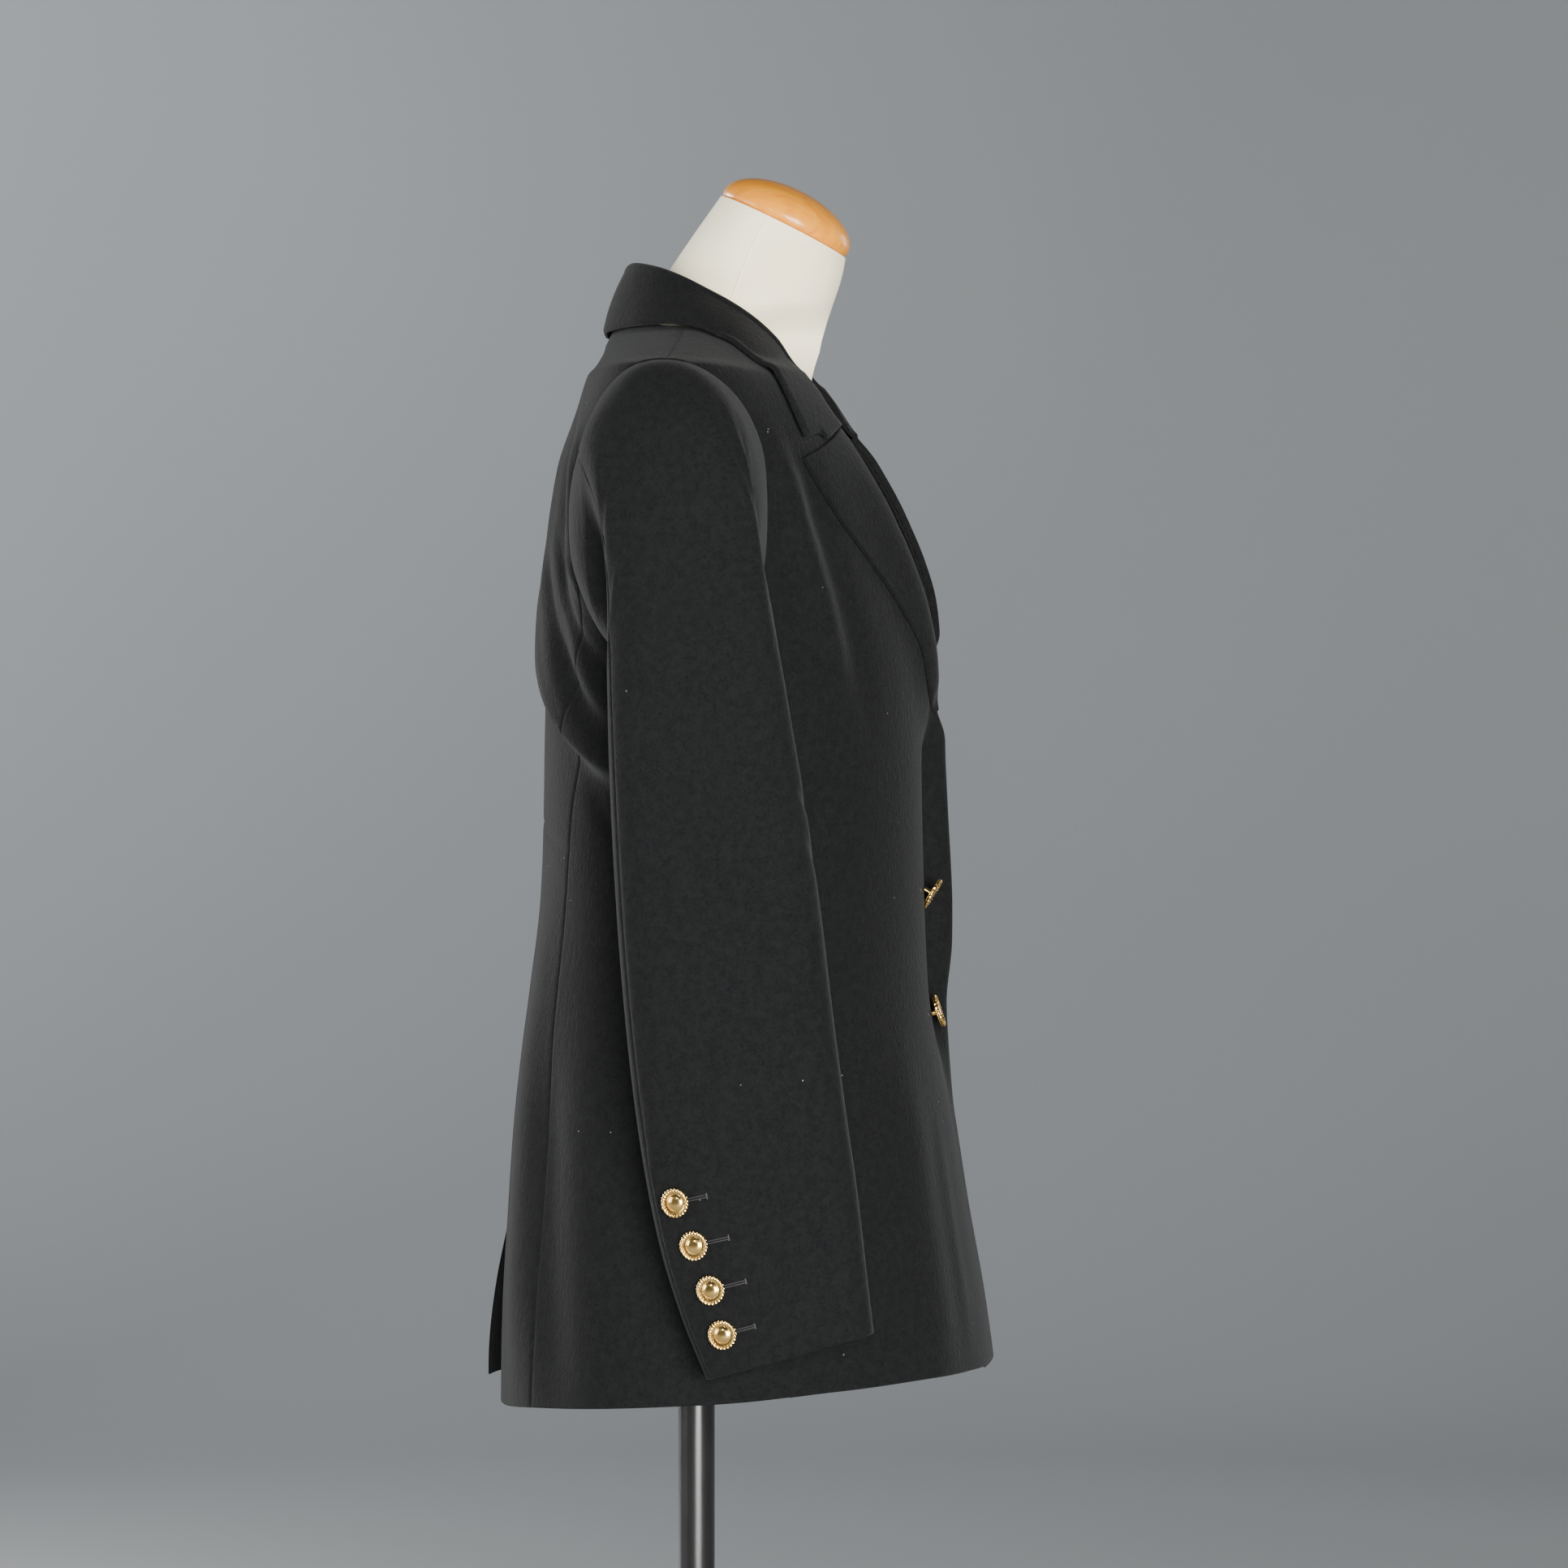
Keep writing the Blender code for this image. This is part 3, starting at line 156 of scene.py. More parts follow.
# Camera: the photo's view from the wearer's right, level, with a long lens
CAMERA_TARGET = Vector((0, -0.057, 1.08))
CAMERA_DISTANCE = 3.0
CAMERA_AZIMUTH = -83.5
CAMERA_LENS = 106.5
CAMERA_SENSOR = 36

# Studio: a round floor that curves up into a wall
ROOM_RADIUS = 7.0
ROOM_CURVE = 2.5
ROOM_HEIGHT = 7.0
WORLD_COLOR = (0.80, 0.84, 0.88)
WORLD_STRENGTH = 0.05
# Lights: name, place, target, width and height, power, colour
LIGHTS = (
    ("window_behind", (2.3, 3.3, 1.5), (0, 0, 1.05), (1.5, 2.0), 200, (1.0, 0.99, 0.97)),
    ("back_card", (-1.3, 3.8, 1.5), (0, 0, 0.95), (2.2, 1.8), 90, (1.0, 0.99, 0.97)),
    ("left_fill", (3.4, -3.0, 1.8), (0, 0, 1.1), (1.6, 1.6), 24, (1.0, 0.99, 0.97)),
    ("front_light", (-4.2, -1.45, 1.1), (0, 0, 1.1), (2.2, 1.8), 540, (1.0, 0.98, 0.94)),
    ("wall_light", (4.2, 2.6, 3.0), (7.0, 2.0, 1.4), (2.0, 1.0), 60, (0.96, 0.98, 1.0)),
    ("button_glint", (-2.4, 0.9, 1.9), (-0.25, 0.05, 0.8), (0.12, 0.12), 6, (1, 1, 1)),
    ("button_glint_low", (-2.6, -1.0, 0.5), (-0.25, 0.05, 0.8), (0.12, 0.12), 5, (1, 1, 1)),
)

# The jacket's halves: whether it is the left one, and its name
SIDES = ((False, "right"), (True, "left"))

# Height, widest half width, fore of the centre back, of the widest point and of the centre
# front, and how square the back and the front quarters are
BODY_RINGS = (
    (0.670, 0.231, -0.1205, 0.024, 0.1960, 2.3, 2.1),
    (0.700, 0.227, -0.1205, 0.024, 0.1930, 2.3, 2.1),
    (0.750, 0.221, -0.1200, 0.024, 0.1860, 2.3, 2.1),
    (0.810, 0.212, -0.1170, 0.023, 0.1750, 2.3, 2.1),
    (0.865, 0.202, -0.1135, 0.021, 0.1660, 2.3, 2.1),
    (0.910, 0.194, -0.1090, 0.019, 0.1580, 2.25, 2.1),
    (0.950, 0.186, -0.1040, 0.017, 0.1525, 2.2, 2.1),
    (1.010, 0.177, -0.0970, 0.013, 0.1500, 2.2, 2.1),
    (1.050, 0.173, -0.0955, 0.011, 0.1490, 2.2, 2.1),
    (1.090, 0.174, -0.0950, 0.010, 0.1480, 2.2, 2.05),
    (1.125, 0.178, -0.0950, 0.010, 0.1470, 2.2, 2.0),
    (1.160, 0.184, -0.0960, 0.010, 0.1450, 2.2, 1.9),
    (1.190, 0.190, -0.0955, 0.010, 0.1405, 2.2, 1.8),
    (1.220, 0.196, -0.0920, 0.010, 0.1335, 2.2, 1.7),
    (1.250, 0.201, -0.0870, 0.010, 0.1235, 2.2, 1.65),
    (1.280, 0.205, -0.0810, 0.009, 0.1110, 2.2, 1.65),
    (1.305, 0.2065, -0.0740, 0.008, 0.0970, 2.15, 1.7),
    (1.325, 0.2060, -0.0680, 0.007, 0.0835, 2.1, 1.75),
    (1.335, 0.2025, -0.0645, 0.006, 0.0750, 2.1, 1.8),
    (1.342, 0.1760, -0.0620, 0.006, 0.0680, 2.05, 1.8),
    (1.349, 0.1500, -0.0600, 0.005, 0.0610, 2.0, 1.9),
    (1.356, 0.1240, -0.0580, 0.004, 0.0550, 2.0, 2.0),
    (1.362, 0.1010, -0.0575, 0.003, 0.0505, 2.0, 2.0),
    (1.3665, 0.0850, -0.0560, 0.002, 0.0475, 2.0, 2.0),
    (1.371, 0.0775, -0.0545, 0.002, 0.0455, 2.0, 2.0),
    (1.385, 0.0680, -0.0500, 0.002, 0.0400, 2.0, 2.0),
)

# Angle round the ring from the centre back, and the hem's height there
HEM = (
    (0, 0.6860),
    (25, 0.6910),
    (50, 0.6985),
    (100, 0.7090),
    (120, 0.7130),
    (140, 0.7140),
    (160, 0.7120),
    (180, 0.7090),
    (200, 0.7090),
)

# Height, angle of the seam between back and side panel, and between side panel and front
SEAM_ANGLES = (
    (0.68, 47, 110),
    (0.87, 47, 111),
    (1.05, 47.5, 112),
    (1.21, 54, 115),
)

# Height and x of the front's inner edge: free edge, then roll line, then neckline
FRONT_EDGE = (
    (0.680, -0.0200),
    (0.900, -OVERLAP),
    (1.105, -OVERLAP),
    (1.125, -0.0120),
    (1.141, -0.0055),
    (1.167, 0.0045),
    (1.189, 0.0130),
    (1.2215, 0.0250),
    (1.252, 0.0335),
    (1.289, 0.0403),
    (1.314, 0.0455),
    (1.3345, 0.0545),
    (1.347, 0.0610),
    (1.360, 0.0705),
    (1.3695, 0.0795),
)

# Share of the way up the back's inner edge above the armhole join, x, height
BACK_NECK = (
    (0.00, 0.0000, 1.206),
    (0.42, 0.0000, 1.300),
    (0.64, 0.0000, 1.345),
    (0.80, 0.0000, 1.380),
    (0.87, 0.0300, 1.3795),
    (0.94, 0.0580, 1.3755),
    (1.00, 0.0795, 1.3695),
)

# Height, then how far the fronts' edge flares, dips at the buttons and rolls
FRONT_RELIEF = (
    (0.680, 0.0000, 0.0000, 0.0000),
    (0.865, 0.0010, 0.0000, 0.0000),
    (0.900, 0.0040, 0.0005, 0.0000),
    (0.937, 0.0080, 0.0060, 0.0000),
    (0.980, 0.0145, 0.0100, 0.0000),
    (1.010, 0.0155, 0.0120, 0.0000),
    (1.050, 0.0145, 0.0110, 0.0000),
    (1.090, 0.0125, 0.0060, 0.0010),
    (1.125, 0.0090, 0.0000, 0.0045),
    (1.160, 0.0045, 0.0000, 0.0080),
    (1.200, 0.0000, 0.0000, 0.0090),
    (1.250, 0.0000, 0.0000, 0.0070),
    (1.280, 0.0000, 0.0000, 0.0040),
    (1.310, 0.0000, 0.0000, 0.0015),
    (1.335, 0.0000, 0.0000, 0.0010),
    (1.360, 0.0000, 0.0000, 0.0005),
    (1.385, 0.0000, 0.0000, 0.0000),
)
FRONT_FADE = 0.050
FLARE_REACH = 0.022
DIP_PLACE = -0.002
DIP_REACH = 0.010
ROLL_REACH = 0.028
LEFT_ROLL_MORE = 0.003
LEFT_ROLL_LOW = 1.150
LEFT_ROLL_HIGH = 1.315
LEFT_ROLL_FADE = 0.055
UNDERLAP_X = 0.045
UNDERLAP_FADE = 0.021
UNDERLAP_TOP = 1.176
UNDERLAP_FLATTEN = 0.6
HEIGHT_FADE = 0.030

# x across the back, height of the shelf fold there, and how far the cloth hangs over it
SHELF_FOLD = (
    (0.000, 1.184, 0.0010),
    (0.050, 1.176, 0.0025),
    (0.095, 1.150, 0.0060),
    (0.135, 1.120, 0.0095),
    (0.165, 1.092, 0.0095),
    (0.190, 1.078, 0.0045),
)
SHELF_ABOVE = 0.050
SHELF_EDGE = 0.013
SHELF_BELOW = 0.060
SHELF_UNDERCUT = 0.8
SHELF_FORE = 0.005
SHELF_FADE = 0.04

# Soft folds: face, start and end as (x or fore, height), half width, depth outwards
Fold = namedtuple("Fold", "face start_across start_height end_across end_height reach depth")
FOLDS = (
    Fold("back", 0.118, 1.300, 0.150, 1.150, 0.012, -0.0050),
    Fold("back", 0.150, 1.290, 0.162, 1.200, 0.009, 0.0040),
    Fold("back", 0.085, 1.300, 0.100, 1.200, 0.010, 0.0025),
    Fold("back", 0.105, 1.220, 0.168, 1.105, 0.008, -0.0035),
    Fold("back", 0.130, 1.215, 0.172, 1.120, 0.007, 0.0030),
    Fold("back", 0.110, 0.980, 0.150, 0.720, 0.020, 0.0045),
    Fold("back", 0.150, 0.900, 0.195, 0.700, 0.016, -0.0050),
    Fold("front", 0.165, 1.290, 0.150, 1.170, 0.010, -0.0035),
    Fold("front", 0.142, 1.285, 0.128, 1.150, 0.010, 0.0035),
    Fold("front", 0.122, 1.270, 0.106, 1.130, 0.011, -0.0030),
    Fold("front", 0.100, 0.900, 0.120, 0.710, 0.025, 0.0040),
    Fold("side", 0.000, 1.060, 0.020, 0.860, 0.020, -0.0040),
    Fold("side", 0.055, 0.960, 0.070, 0.720, 0.022, 0.0045),
)
# Finer creases, in the same columns
FINE_FOLDS = (
    Fold("back", 0.112, 1.205, 0.160, 1.128, 0.0035, -0.0012),
    Fold("back", 0.122, 1.232, 0.172, 1.150, 0.0040, -0.0014),
    Fold("back", 0.138, 1.250, 0.176, 1.176, 0.0038, 0.0011),
    Fold("back", 0.090, 1.190, 0.140, 1.112, 0.0045, 0.0010),
    Fold("back", 0.040, 1.060, 0.120, 1.040, 0.0090, -0.0014),
    Fold("back", 0.070, 0.900, 0.084, 0.760, 0.0110, -0.0014),
    Fold("back", 0.030, 0.860, 0.042, 0.730, 0.0090, 0.0010),
    Fold("side", -0.050, 1.075, -0.010, 1.010, 0.0060, -0.0012),
    Fold("side", 0.060, 1.110, 0.030, 1.030, 0.0060, -0.0012),
    Fold("side", 0.030, 1.000, 0.050, 0.880, 0.0090, 0.0012),
    Fold("front", 0.150, 1.250, 0.138, 1.175, 0.0045, -0.0012),
    Fold("front", 0.060, 0.860, 0.070, 0.740, 0.0120, 0.0012),
)
VENT_TOP = 0.860
VENT_FLARE = 0.018
RIGHT_VENT_SINK = 0.003
LEFT_VENT_RAISE = 0.009
VENT_RAISE_TURN = 18
VENT_FLARE_REACH = 0.050
VENT_OPEN = 0.005
VENT_OPEN_REACH = 0.030
VENT_FADE = 0.160
SIDE_FOLD_START = 0.120
SIDE_FOLD_FADE = 0.040
FACE_FADE = 0.030
FOLD_END = 0.25

FRONT_COLUMNS = 12
FRONT_EDGE_COLUMNS = 4
FRONT_EDGE_START = 0.036

# Sleeve: share of its length; x and height of the outer line and of the inner line;
# fore of the back and of the front; rise towards the front; squareness
SLEEVE_RINGS = (
    (0.00, 0.2025, 1.3370, 0.1830, 1.1500, -0.0525, 0.0655, 0.00, 2.2),
    (0.05, 0.2165, 1.3335, 0.1865, 1.1470, -0.0500, 0.0668, 0.00, 2.1),
    (0.10, 0.2290, 1.3225, 0.1890, 1.1430, -0.0450, 0.0672, 0.00, 2.1),
    (0.17, 0.2410, 1.2990, 0.1910, 1.1360, -0.0370, 0.0690, 0.00, 2.2),
    (0.25, 0.2485, 1.2630, 0.1920, 1.1230, -0.0290, 0.0740, 0.00, 2.45),
    (0.33, 0.2520, 1.2180, 0.1925, 1.1040, -0.0250, 0.0790, 0.00, 2.5),
    (0.42, 0.2545, 1.1620, 0.1935, 1.0740, -0.0240, 0.0865, 0.00, 2.5),
    (0.52, 0.2560, 1.0920, 0.1950, 1.0340, -0.0215, 0.0960, 0.03, 2.5),
    (0.62, 0.2575, 1.0180, 0.1985, 0.9880, -0.0175, 0.1045, 0.08, 2.5),
    (0.72, 0.2595, 0.9440, 0.2040, 0.9290, -0.0110, 0.1125, 0.13, 2.5),
    (0.80, 0.2615, 0.8840, 0.2095, 0.8750, -0.0030, 0.1200, 0.18, 2.5),
    (0.88, 0.2640, 0.8245, 0.2155, 0.8185, 0.0090, 0.1285, 0.22, 2.5),
    (0.94, 0.2660, 0.7820, 0.2200, 0.7770, 0.0225, 0.1335, 0.26, 2.5),
    (1.00, 0.2680, 0.7415, 0.2240, 0.7390, 0.0390, 0.1385, 0.29, 2.5),
)
ARMHOLE_BLEND = 0.10
SEWN_SHARE = 0.05
# The cuff's opening stands up by a step beside the hindarm seam
SLEEVE_VENT_STEP = 0.0012
SLEEVE_VENT_SHARE = 0.80
SLEEVE_VENT_FADE = 0.03
SLEEVE_VENT_REACH = 9

# Sleeve creases: angle round the sleeve, share of its length, reach of each, depth, and the
# slant in degrees over a tenth of the length, which only the fine creases have
Crease = namedtuple("Crease", "angle place angle_reach length_reach depth slant", defaults=(0,))
CREASE_START = 0.08
SLANT_LENGTH = 0.1
SLEEVE_CREASES = (
    Crease(92, 0.17, 20, 0.10, -0.0120),
    Crease(56, 0.18, 13, 0.12, 0.0040),
    Crease(-76, 0.20, 12, 0.12, -0.0040),
    Crease(-52, 0.22, 10, 0.12, 0.0025),
    Crease(100, 0.36, 14, 0.07, -0.0050),
    Crease(0, 0.55, 30, 0.10, -0.0035),
    Crease(180, 0.45, 30, 0.12, -0.0040),
    Crease(-68, 0.17, 4, 0.10, -0.0013, -20),
    Crease(-60, 0.19, 4, 0.09, 0.0012, -20),
    Crease(-48, 0.18, 5, 0.08, -0.0012, -15),
    Crease(-36, 0.20, 6, 0.07, 0.0009, -15),
    Crease(48, 0.20, 5, 0.09, -0.0012, 30),
    Crease(40, 0.30, 6, 0.10, 0.0008, 40),
    Crease(-80, 0.52, 14, 0.012, -0.0014, 60),
    Crease(-84, 0.57, 14, 0.012, -0.0012, -50),
    Crease(-20, 0.46, 22, 0.016, -0.0010, 90),
    Crease(24, 0.52, 20, 0.014, -0.0009, -80),
    Crease(-30, 0.64, 18, 0.018, 0.0008, 70),
    Crease(20, 0.74, 22, 0.016, -0.0007, 60),
)

# Collar: share of the way from the centre back to the gorge, then x, fore and height of
# the neck seam, of the fold line and of the outer edge
COLLAR_SECTIONS = (
    (0.00, 0.0000, -0.0490, 1.3840, 0.0000, -0.0425, 1.4165, 0.0000, -0.0590, 1.3695),
    (0.13, 0.0300, -0.0445, 1.3825, 0.0290, -0.0360, 1.4150, 0.0360, -0.0545, 1.3695),
    (0.27, 0.0560, -0.0290, 1.3795, 0.0530, -0.0190, 1.4100, 0.0680, -0.0340, 1.3705),
    (0.40, 0.0740, -0.0080, 1.3760, 0.0660, -0.0020, 1.4030, 0.0890, -0.0080, 1.3700),
    (0.52, 0.0790, 0.0120, 1.3735, 0.0710, 0.0155, 1.3940, 0.1020, 0.0160, 1.3660),
    (0.64, 0.0775, 0.0280, 1.3690, 0.0715, 0.0310, 1.3855, 0.1070, 0.0310, 1.3575),
    (0.74, 0.0740, 0.0420, 1.3620, 0.0690, 0.0450, 1.3760, 0.1130, 0.0465, 1.3468),
    (0.83, 0.0680, 0.0560, 1.3520, 0.0630, 0.0590, 1.3630, 0.1170, 0.0600, 1.3335),
    (0.90, 0.0620, 0.0660, 1.3410, 0.0570, 0.0690, 1.3480, 0.1190, 0.0695, 1.3200),
    (0.95, 0.0580, 0.0770, 1.3275, 0.0520, 0.0830, 1.3325, 0.1195, 0.0770, 1.3070),
    (1.00, 0.0540, 0.0885, 1.3120, 0.0440, 0.0955, 1.3095, 0.1180, 0.0834, 1.2952),
)
COLLAR_FOLD_RADIUS = 0.0038
COLLAR_FALL_BOW = 0.0022
COLLAR_CLEAR = 0.0032
COLLAR_FLAT_START = 0.75
COLLAR_FLAT_FADE = 0.12
COLLAR_FALL_MORE = 0.0020
STAND_CLEAR = 0.0022
GORGE_START = 0.90
GORGE_FADE = 0.10
GORGE_GAP = 0.0012
NOTCH_SHARE = 0.46
NOTCH_FADE = 0.16
NECK_TOP = 1.386
NECK_FADE = 0.010
COLLAR_SHARES = 120

# Lapel: share of its length up from the break, x and height on the roll line and outside
LAPEL_ROWS = (
    (0.00, -0.0110, 1.1280, -0.0080, 1.1250),
    (0.12, -0.0020, 1.1500, 0.0095, 1.1385),
    (0.28, 0.0115, 1.1850, 0.0265, 1.1665),
    (0.45, 0.0262, 1.2250, 0.0500, 1.1925),
    (0.62, 0.0350, 1.2600, 0.0760, 1.2190),
    (0.78, 0.0400, 1.2870, 0.1000, 1.2455),
    (0.90, 0.0425, 1.3000, 0.1135, 1.2665),
    (1.00, 0.0435, 1.3042, 0.1215, 1.2815),
)
LAPEL_BOW = 0.0012
LAPEL_TAPER = 0.12
LAPEL_END_LIFT = 0.0010
LAPEL_END_CLOTH = 0.0004
LAPEL_ROLL_SHARE = 0.08
LAPEL_ROLL_GAP = 0.0002

# Form: height, half width, fore of back, side and front, squareness of back and front
FORM_RINGS = (
    (0.7600, 0.140, -0.078, 0.010, 0.100, 2.2, 2.1),
    (0.7640, 0.150, -0.086, 0.010, 0.110, 2.2, 2.1),
    (0.7740, 0.157, -0.091, 0.010, 0.116, 2.2, 2.1),
    (0.8500, 0.166, -0.094, 0.010, 0.122, 2.2, 2.1),
    (0.9200, 0.156, -0.088, 0.010, 0.110, 2.2, 2.1),
    (0.9900, 0.136, -0.080, 0.010, 0.096, 2.2, 2.1),
    (1.0500, 0.126, -0.075, 0.010, 0.091, 2.2, 2.1),
    (1.1000, 0.134, -0.076, 0.010, 0.102, 2.2, 2.2),
    (1.1500, 0.146, -0.078, 0.010, 0.120, 2.2, 2.3),
    (1.1900, 0.152, -0.078, 0.010, 0.118, 2.2, 2.1),
    (1.2300, 0.158, -0.076, 0.009, 0.106, 2.2, 2.0),
    (1.2700, 0.164, -0.071, 0.008, 0.092, 2.1, 2.0),
    (1.3000, 0.168, -0.066, 0.007, 0.080, 2.1, 1.9),
    (1.3220, 0.168, -0.060, 0.006, 0.072, 2.0, 1.8),
    (1.3350, 0.158, -0.054, 0.006, 0.074, 2.0, 1.35),
    (1.3460, 0.148, -0.051, 0.005, 0.076, 2.0, 1.0),
    (1.3530, 0.117, -0.049, 0.004, 0.078, 2.0, 0.95),
    (1.3590, 0.086, -0.047, 0.004, 0.080, 2.0, 1.0),
)
# Neck of the form: step upwards, fore and height of its back and of its front, half width
NECK_RINGS = (
    (0, -0.0460, 1.3690, 0.0815, 1.3665, 0.0610),
    (1, -0.0400, 1.3810, 0.0855, 1.3800, 0.0575),
    (2, -0.0300, 1.3950, 0.0885, 1.3900, 0.0550),
    (3, -0.0170, 1.4130, 0.0930, 1.4030, 0.0505),
    (4, -0.0010, 1.4360, 0.0955, 1.4130, 0.0485),
    (5, 0.0163, 1.4600, 0.0967, 1.4197, 0.0470),
)


# Shape functions: they take and give arrays

def smooth(value):
    """0 below 0, 1 above 1, and a soft step between."""
    value = np.clip(value, 0.0, 1.0)
    return value * value * (3 - 2 * value)


def bell(distance, reach):
    return np.exp(-((distance / reach) ** 2))


def power(value, exponent):
    return np.sign(value) * np.abs(value) ** exponent


def point(x, fore, height):
    return np.stack(np.broadcast_arrays(x, -np.asarray(fore), height), axis=-1).astype(float)


def unit(vectors):
    return vectors / np.maximum(np.linalg.norm(vectors, axis=-1, keepdims=True), 1e-9)


class Profile:
    """Columns that change smoothly and without overshoot along a table's first column."""

    def __init__(self, rows):
        table = np.array(rows, dtype=float)
        self.keys = table[:, 0]
        self.values = table[:, 1:]
        rises = np.diff(self.values, axis=0) / np.diff(self.keys)[:, None]
        self.slopes = np.zeros_like(self.values)
        self.slopes[0] = rises[0]
        self.slopes[-1] = rises[-1]
        before, after = rises[:-1], rises[1:]
        total = np.where(before + after == 0, 1, before + after)
        self.slopes[1:-1] = np.where(before * after > 0, 2 * before * after / total, 0)

    def __call__(self, key):
        key = np.clip(np.asarray(key, dtype=float), self.keys[0], self.keys[-1])
        i = np.clip(np.searchsorted(self.keys, key, side="right") - 1, 0, len(self.keys) - 2)
        span = (self.keys[i + 1] - self.keys[i])[..., None]
        t = (key - self.keys[i])[..., None] / span
        start = (1 + 2 * t) * (1 - t) ** 2 * self.values[i]
        end = t * t * (3 - 2 * t) * self.values[i + 1]
        lead = t * (1 - t) ** 2 * span * self.slopes[i]
        trail = t * t * (t - 1) * span * self.slopes[i + 1]
        return np.moveaxis(start + end + lead + trail, -1, 0)


body_ring = Profile(BODY_RINGS)
hem_height = Profile(HEM)
seam_angles = Profile(SEAM_ANGLES)
front_edge = Profile(FRONT_EDGE)
back_neck = Profile(BACK_NECK)
front_relief = Profile(FRONT_RELIEF)
shelf_fold = Profile(SHELF_FOLD)
sleeve_ring = Profile(SLEEVE_RINGS)
collar_section = Profile(COLLAR_SECTIONS)
lapel_row = Profile(LAPEL_ROWS)
form_ring = Profile(FORM_RINGS)
neck_ring = Profile(NECK_RINGS)


def ring_place(ring, angle, height):
    """x and fore on a ring, at an angle from the centre back in degrees."""
    half_width, back, side, front, back_square, front_square = ring(height)
    across = np.sin(np.radians(angle))
    aft = np.cos(np.radians(angle))
    square = np.where(aft > 0, back_square, front_square)
    reach = np.where(aft > 0, side - back, front - side)
    return half_width * power(across, 2 / square), side - reach * power(aft, 2 / square)


def ring_half(fore, height):
    """Half width, fore of the widest point, and reach and squareness of that fore's half."""
    half_width, back, side, front, back_square, front_square = body_ring(height)
    reach = np.where(fore < side, side - back, front - side)
    return half_width, side, reach, np.where(fore < side, back_square, front_square)


def fore_at(x, height, rear):
    """Fore of the body's back or front at x."""
    half_width, back, side, front, back_square, front_square = body_ring(height)
    square = back_square if rear else front_square
    share = (1 - np.minimum(np.abs(x) / half_width, 1.0) ** square) ** (1 / square)
    return side - (side - back) * share if rear else side + (front - side) * share


def x_at(fore, height):
    """x of the body's ring at that fore."""
    half_width, side, reach, square = ring_half(fore, height)
    share = np.minimum(np.abs(fore - side) / reach, 1.0)
    return half_width * (1 - share ** square) ** (1 / square)


def angle_at(fore, height):
    """Angle from the centre back of the ring's point at that fore."""
    _, side, reach, square = ring_half(fore, height)
    aft = np.minimum(np.abs(fore - side) / reach, 1.0) ** (square / 2)
    return np.degrees(np.arccos(np.copysign(aft, side - fore)))


def ring_level(x, fore, height):
    """1 on the body's ring, less inside it and more outside."""
    half_width, side, reach, square = ring_half(fore, height)
    return (np.abs(x) / half_width) ** square + (np.abs(fore - side) / reach) ** square


def level_gradient(x, fore, height):
    step = 0.0005
    return np.stack([
        ring_level(x + step, fore, height) - ring_level(x - step, fore, height),
        ring_level(x, fore - step, height) - ring_level(x, fore + step, height),
        ring_level(x, fore, height + step) - ring_level(x, fore, height - step),
    ], axis=-1) / (2 * step)


def body_normal(x, fore, height):
    return unit(level_gradient(x, fore, height))


def fold_relief(folds, x, fore, height, side):
    total = 0.0
    for fold in folds:
        if fold.face == "side":
            across = fore
            weight = smooth((np.abs(x) - SIDE_FOLD_START) / SIDE_FOLD_FADE)
        else:
            across = np.abs(x)
            behind = side - fore if fold.face == "back" else fore - side
            weight = smooth(behind / FACE_FADE)
        place = (height - fold.start_height) / (fold.end_height - fold.start_height)
        line = fold.start_across + (fold.end_across - fold.start_across) * place
        ends = smooth((place + FOLD_END) / (2 * FOLD_END))
        ends = ends * smooth((1 + FOLD_END - place) / (2 * FOLD_END))
        total = total + weight * ends * fold.depth * bell(across - line, fold.reach)
    return total


def shelf_relief(x, fore, height, side):
    """The back hangs over a slanting fold between the shoulder blade and the underarm."""
    crease, depth = shelf_fold(np.abs(x))
    weight = smooth((side + SHELF_FORE - fore) / SHELF_FADE)
    above = height - crease
    edge = bell(above, SHELF_EDGE)
    under = edge - SHELF_UNDERCUT * (1 - edge) * bell(above, SHELF_BELOW)
    return weight * depth * np.where(above >= 0, bell(above, SHELF_ABOVE), under)


def front_lift(x, height, left):
    """Roll, edge flare and button dip of a front; the left front lies under the right."""
    flare, dip, roll = front_relief(height)
    edge = front_edge(height)[0]
    under = smooth((UNDERLAP_X - x) / UNDERLAP_FADE)
    under = under * smooth((UNDERLAP_TOP - height) / HEIGHT_FADE)
    high = smooth((height - LEFT_ROLL_LOW) / LEFT_ROLL_FADE)
    high = high * smooth((LEFT_ROLL_HIGH - height) / HEIGHT_FADE)
    near = bell(x - edge, ROLL_REACH)
    rolled = (roll + LEFT_ROLL_MORE * high) * near * (1 - UNDERLAP_FLATTEN * under)
    left_lift = rolled - under * (UNDERLAP_INSET + dip)
    lift = roll * near - dip * bell(x - DIP_PLACE, DIP_REACH)
    return np.where(left, left_lift, lift + flare * smooth(-x / FLARE_REACH))


def vent_lift(x, height, left):
    """Below the top of the centre back vent the left half flares and the right one sinks."""
    flare = VENT_FLARE if left else -RIGHT_VENT_SINK
    return flare * smooth((VENT_TOP - height) / VENT_FADE) * bell(x, VENT_FLARE_REACH)


def body_relief(x, fore, height, left, fine=True):
    side = body_ring(height)[2]
    relief = fold_relief(FOLDS, x, fore, height, side) + shelf_relief(x, fore, height, side)
    if fine:
        relief = relief + fold_relief(FINE_FOLDS, x, fore, height, side)
    front = smooth((fore - side) / FRONT_FADE) * front_lift(x, height, left)
    return relief + np.where(fore > side, front, vent_lift(x, height, left))


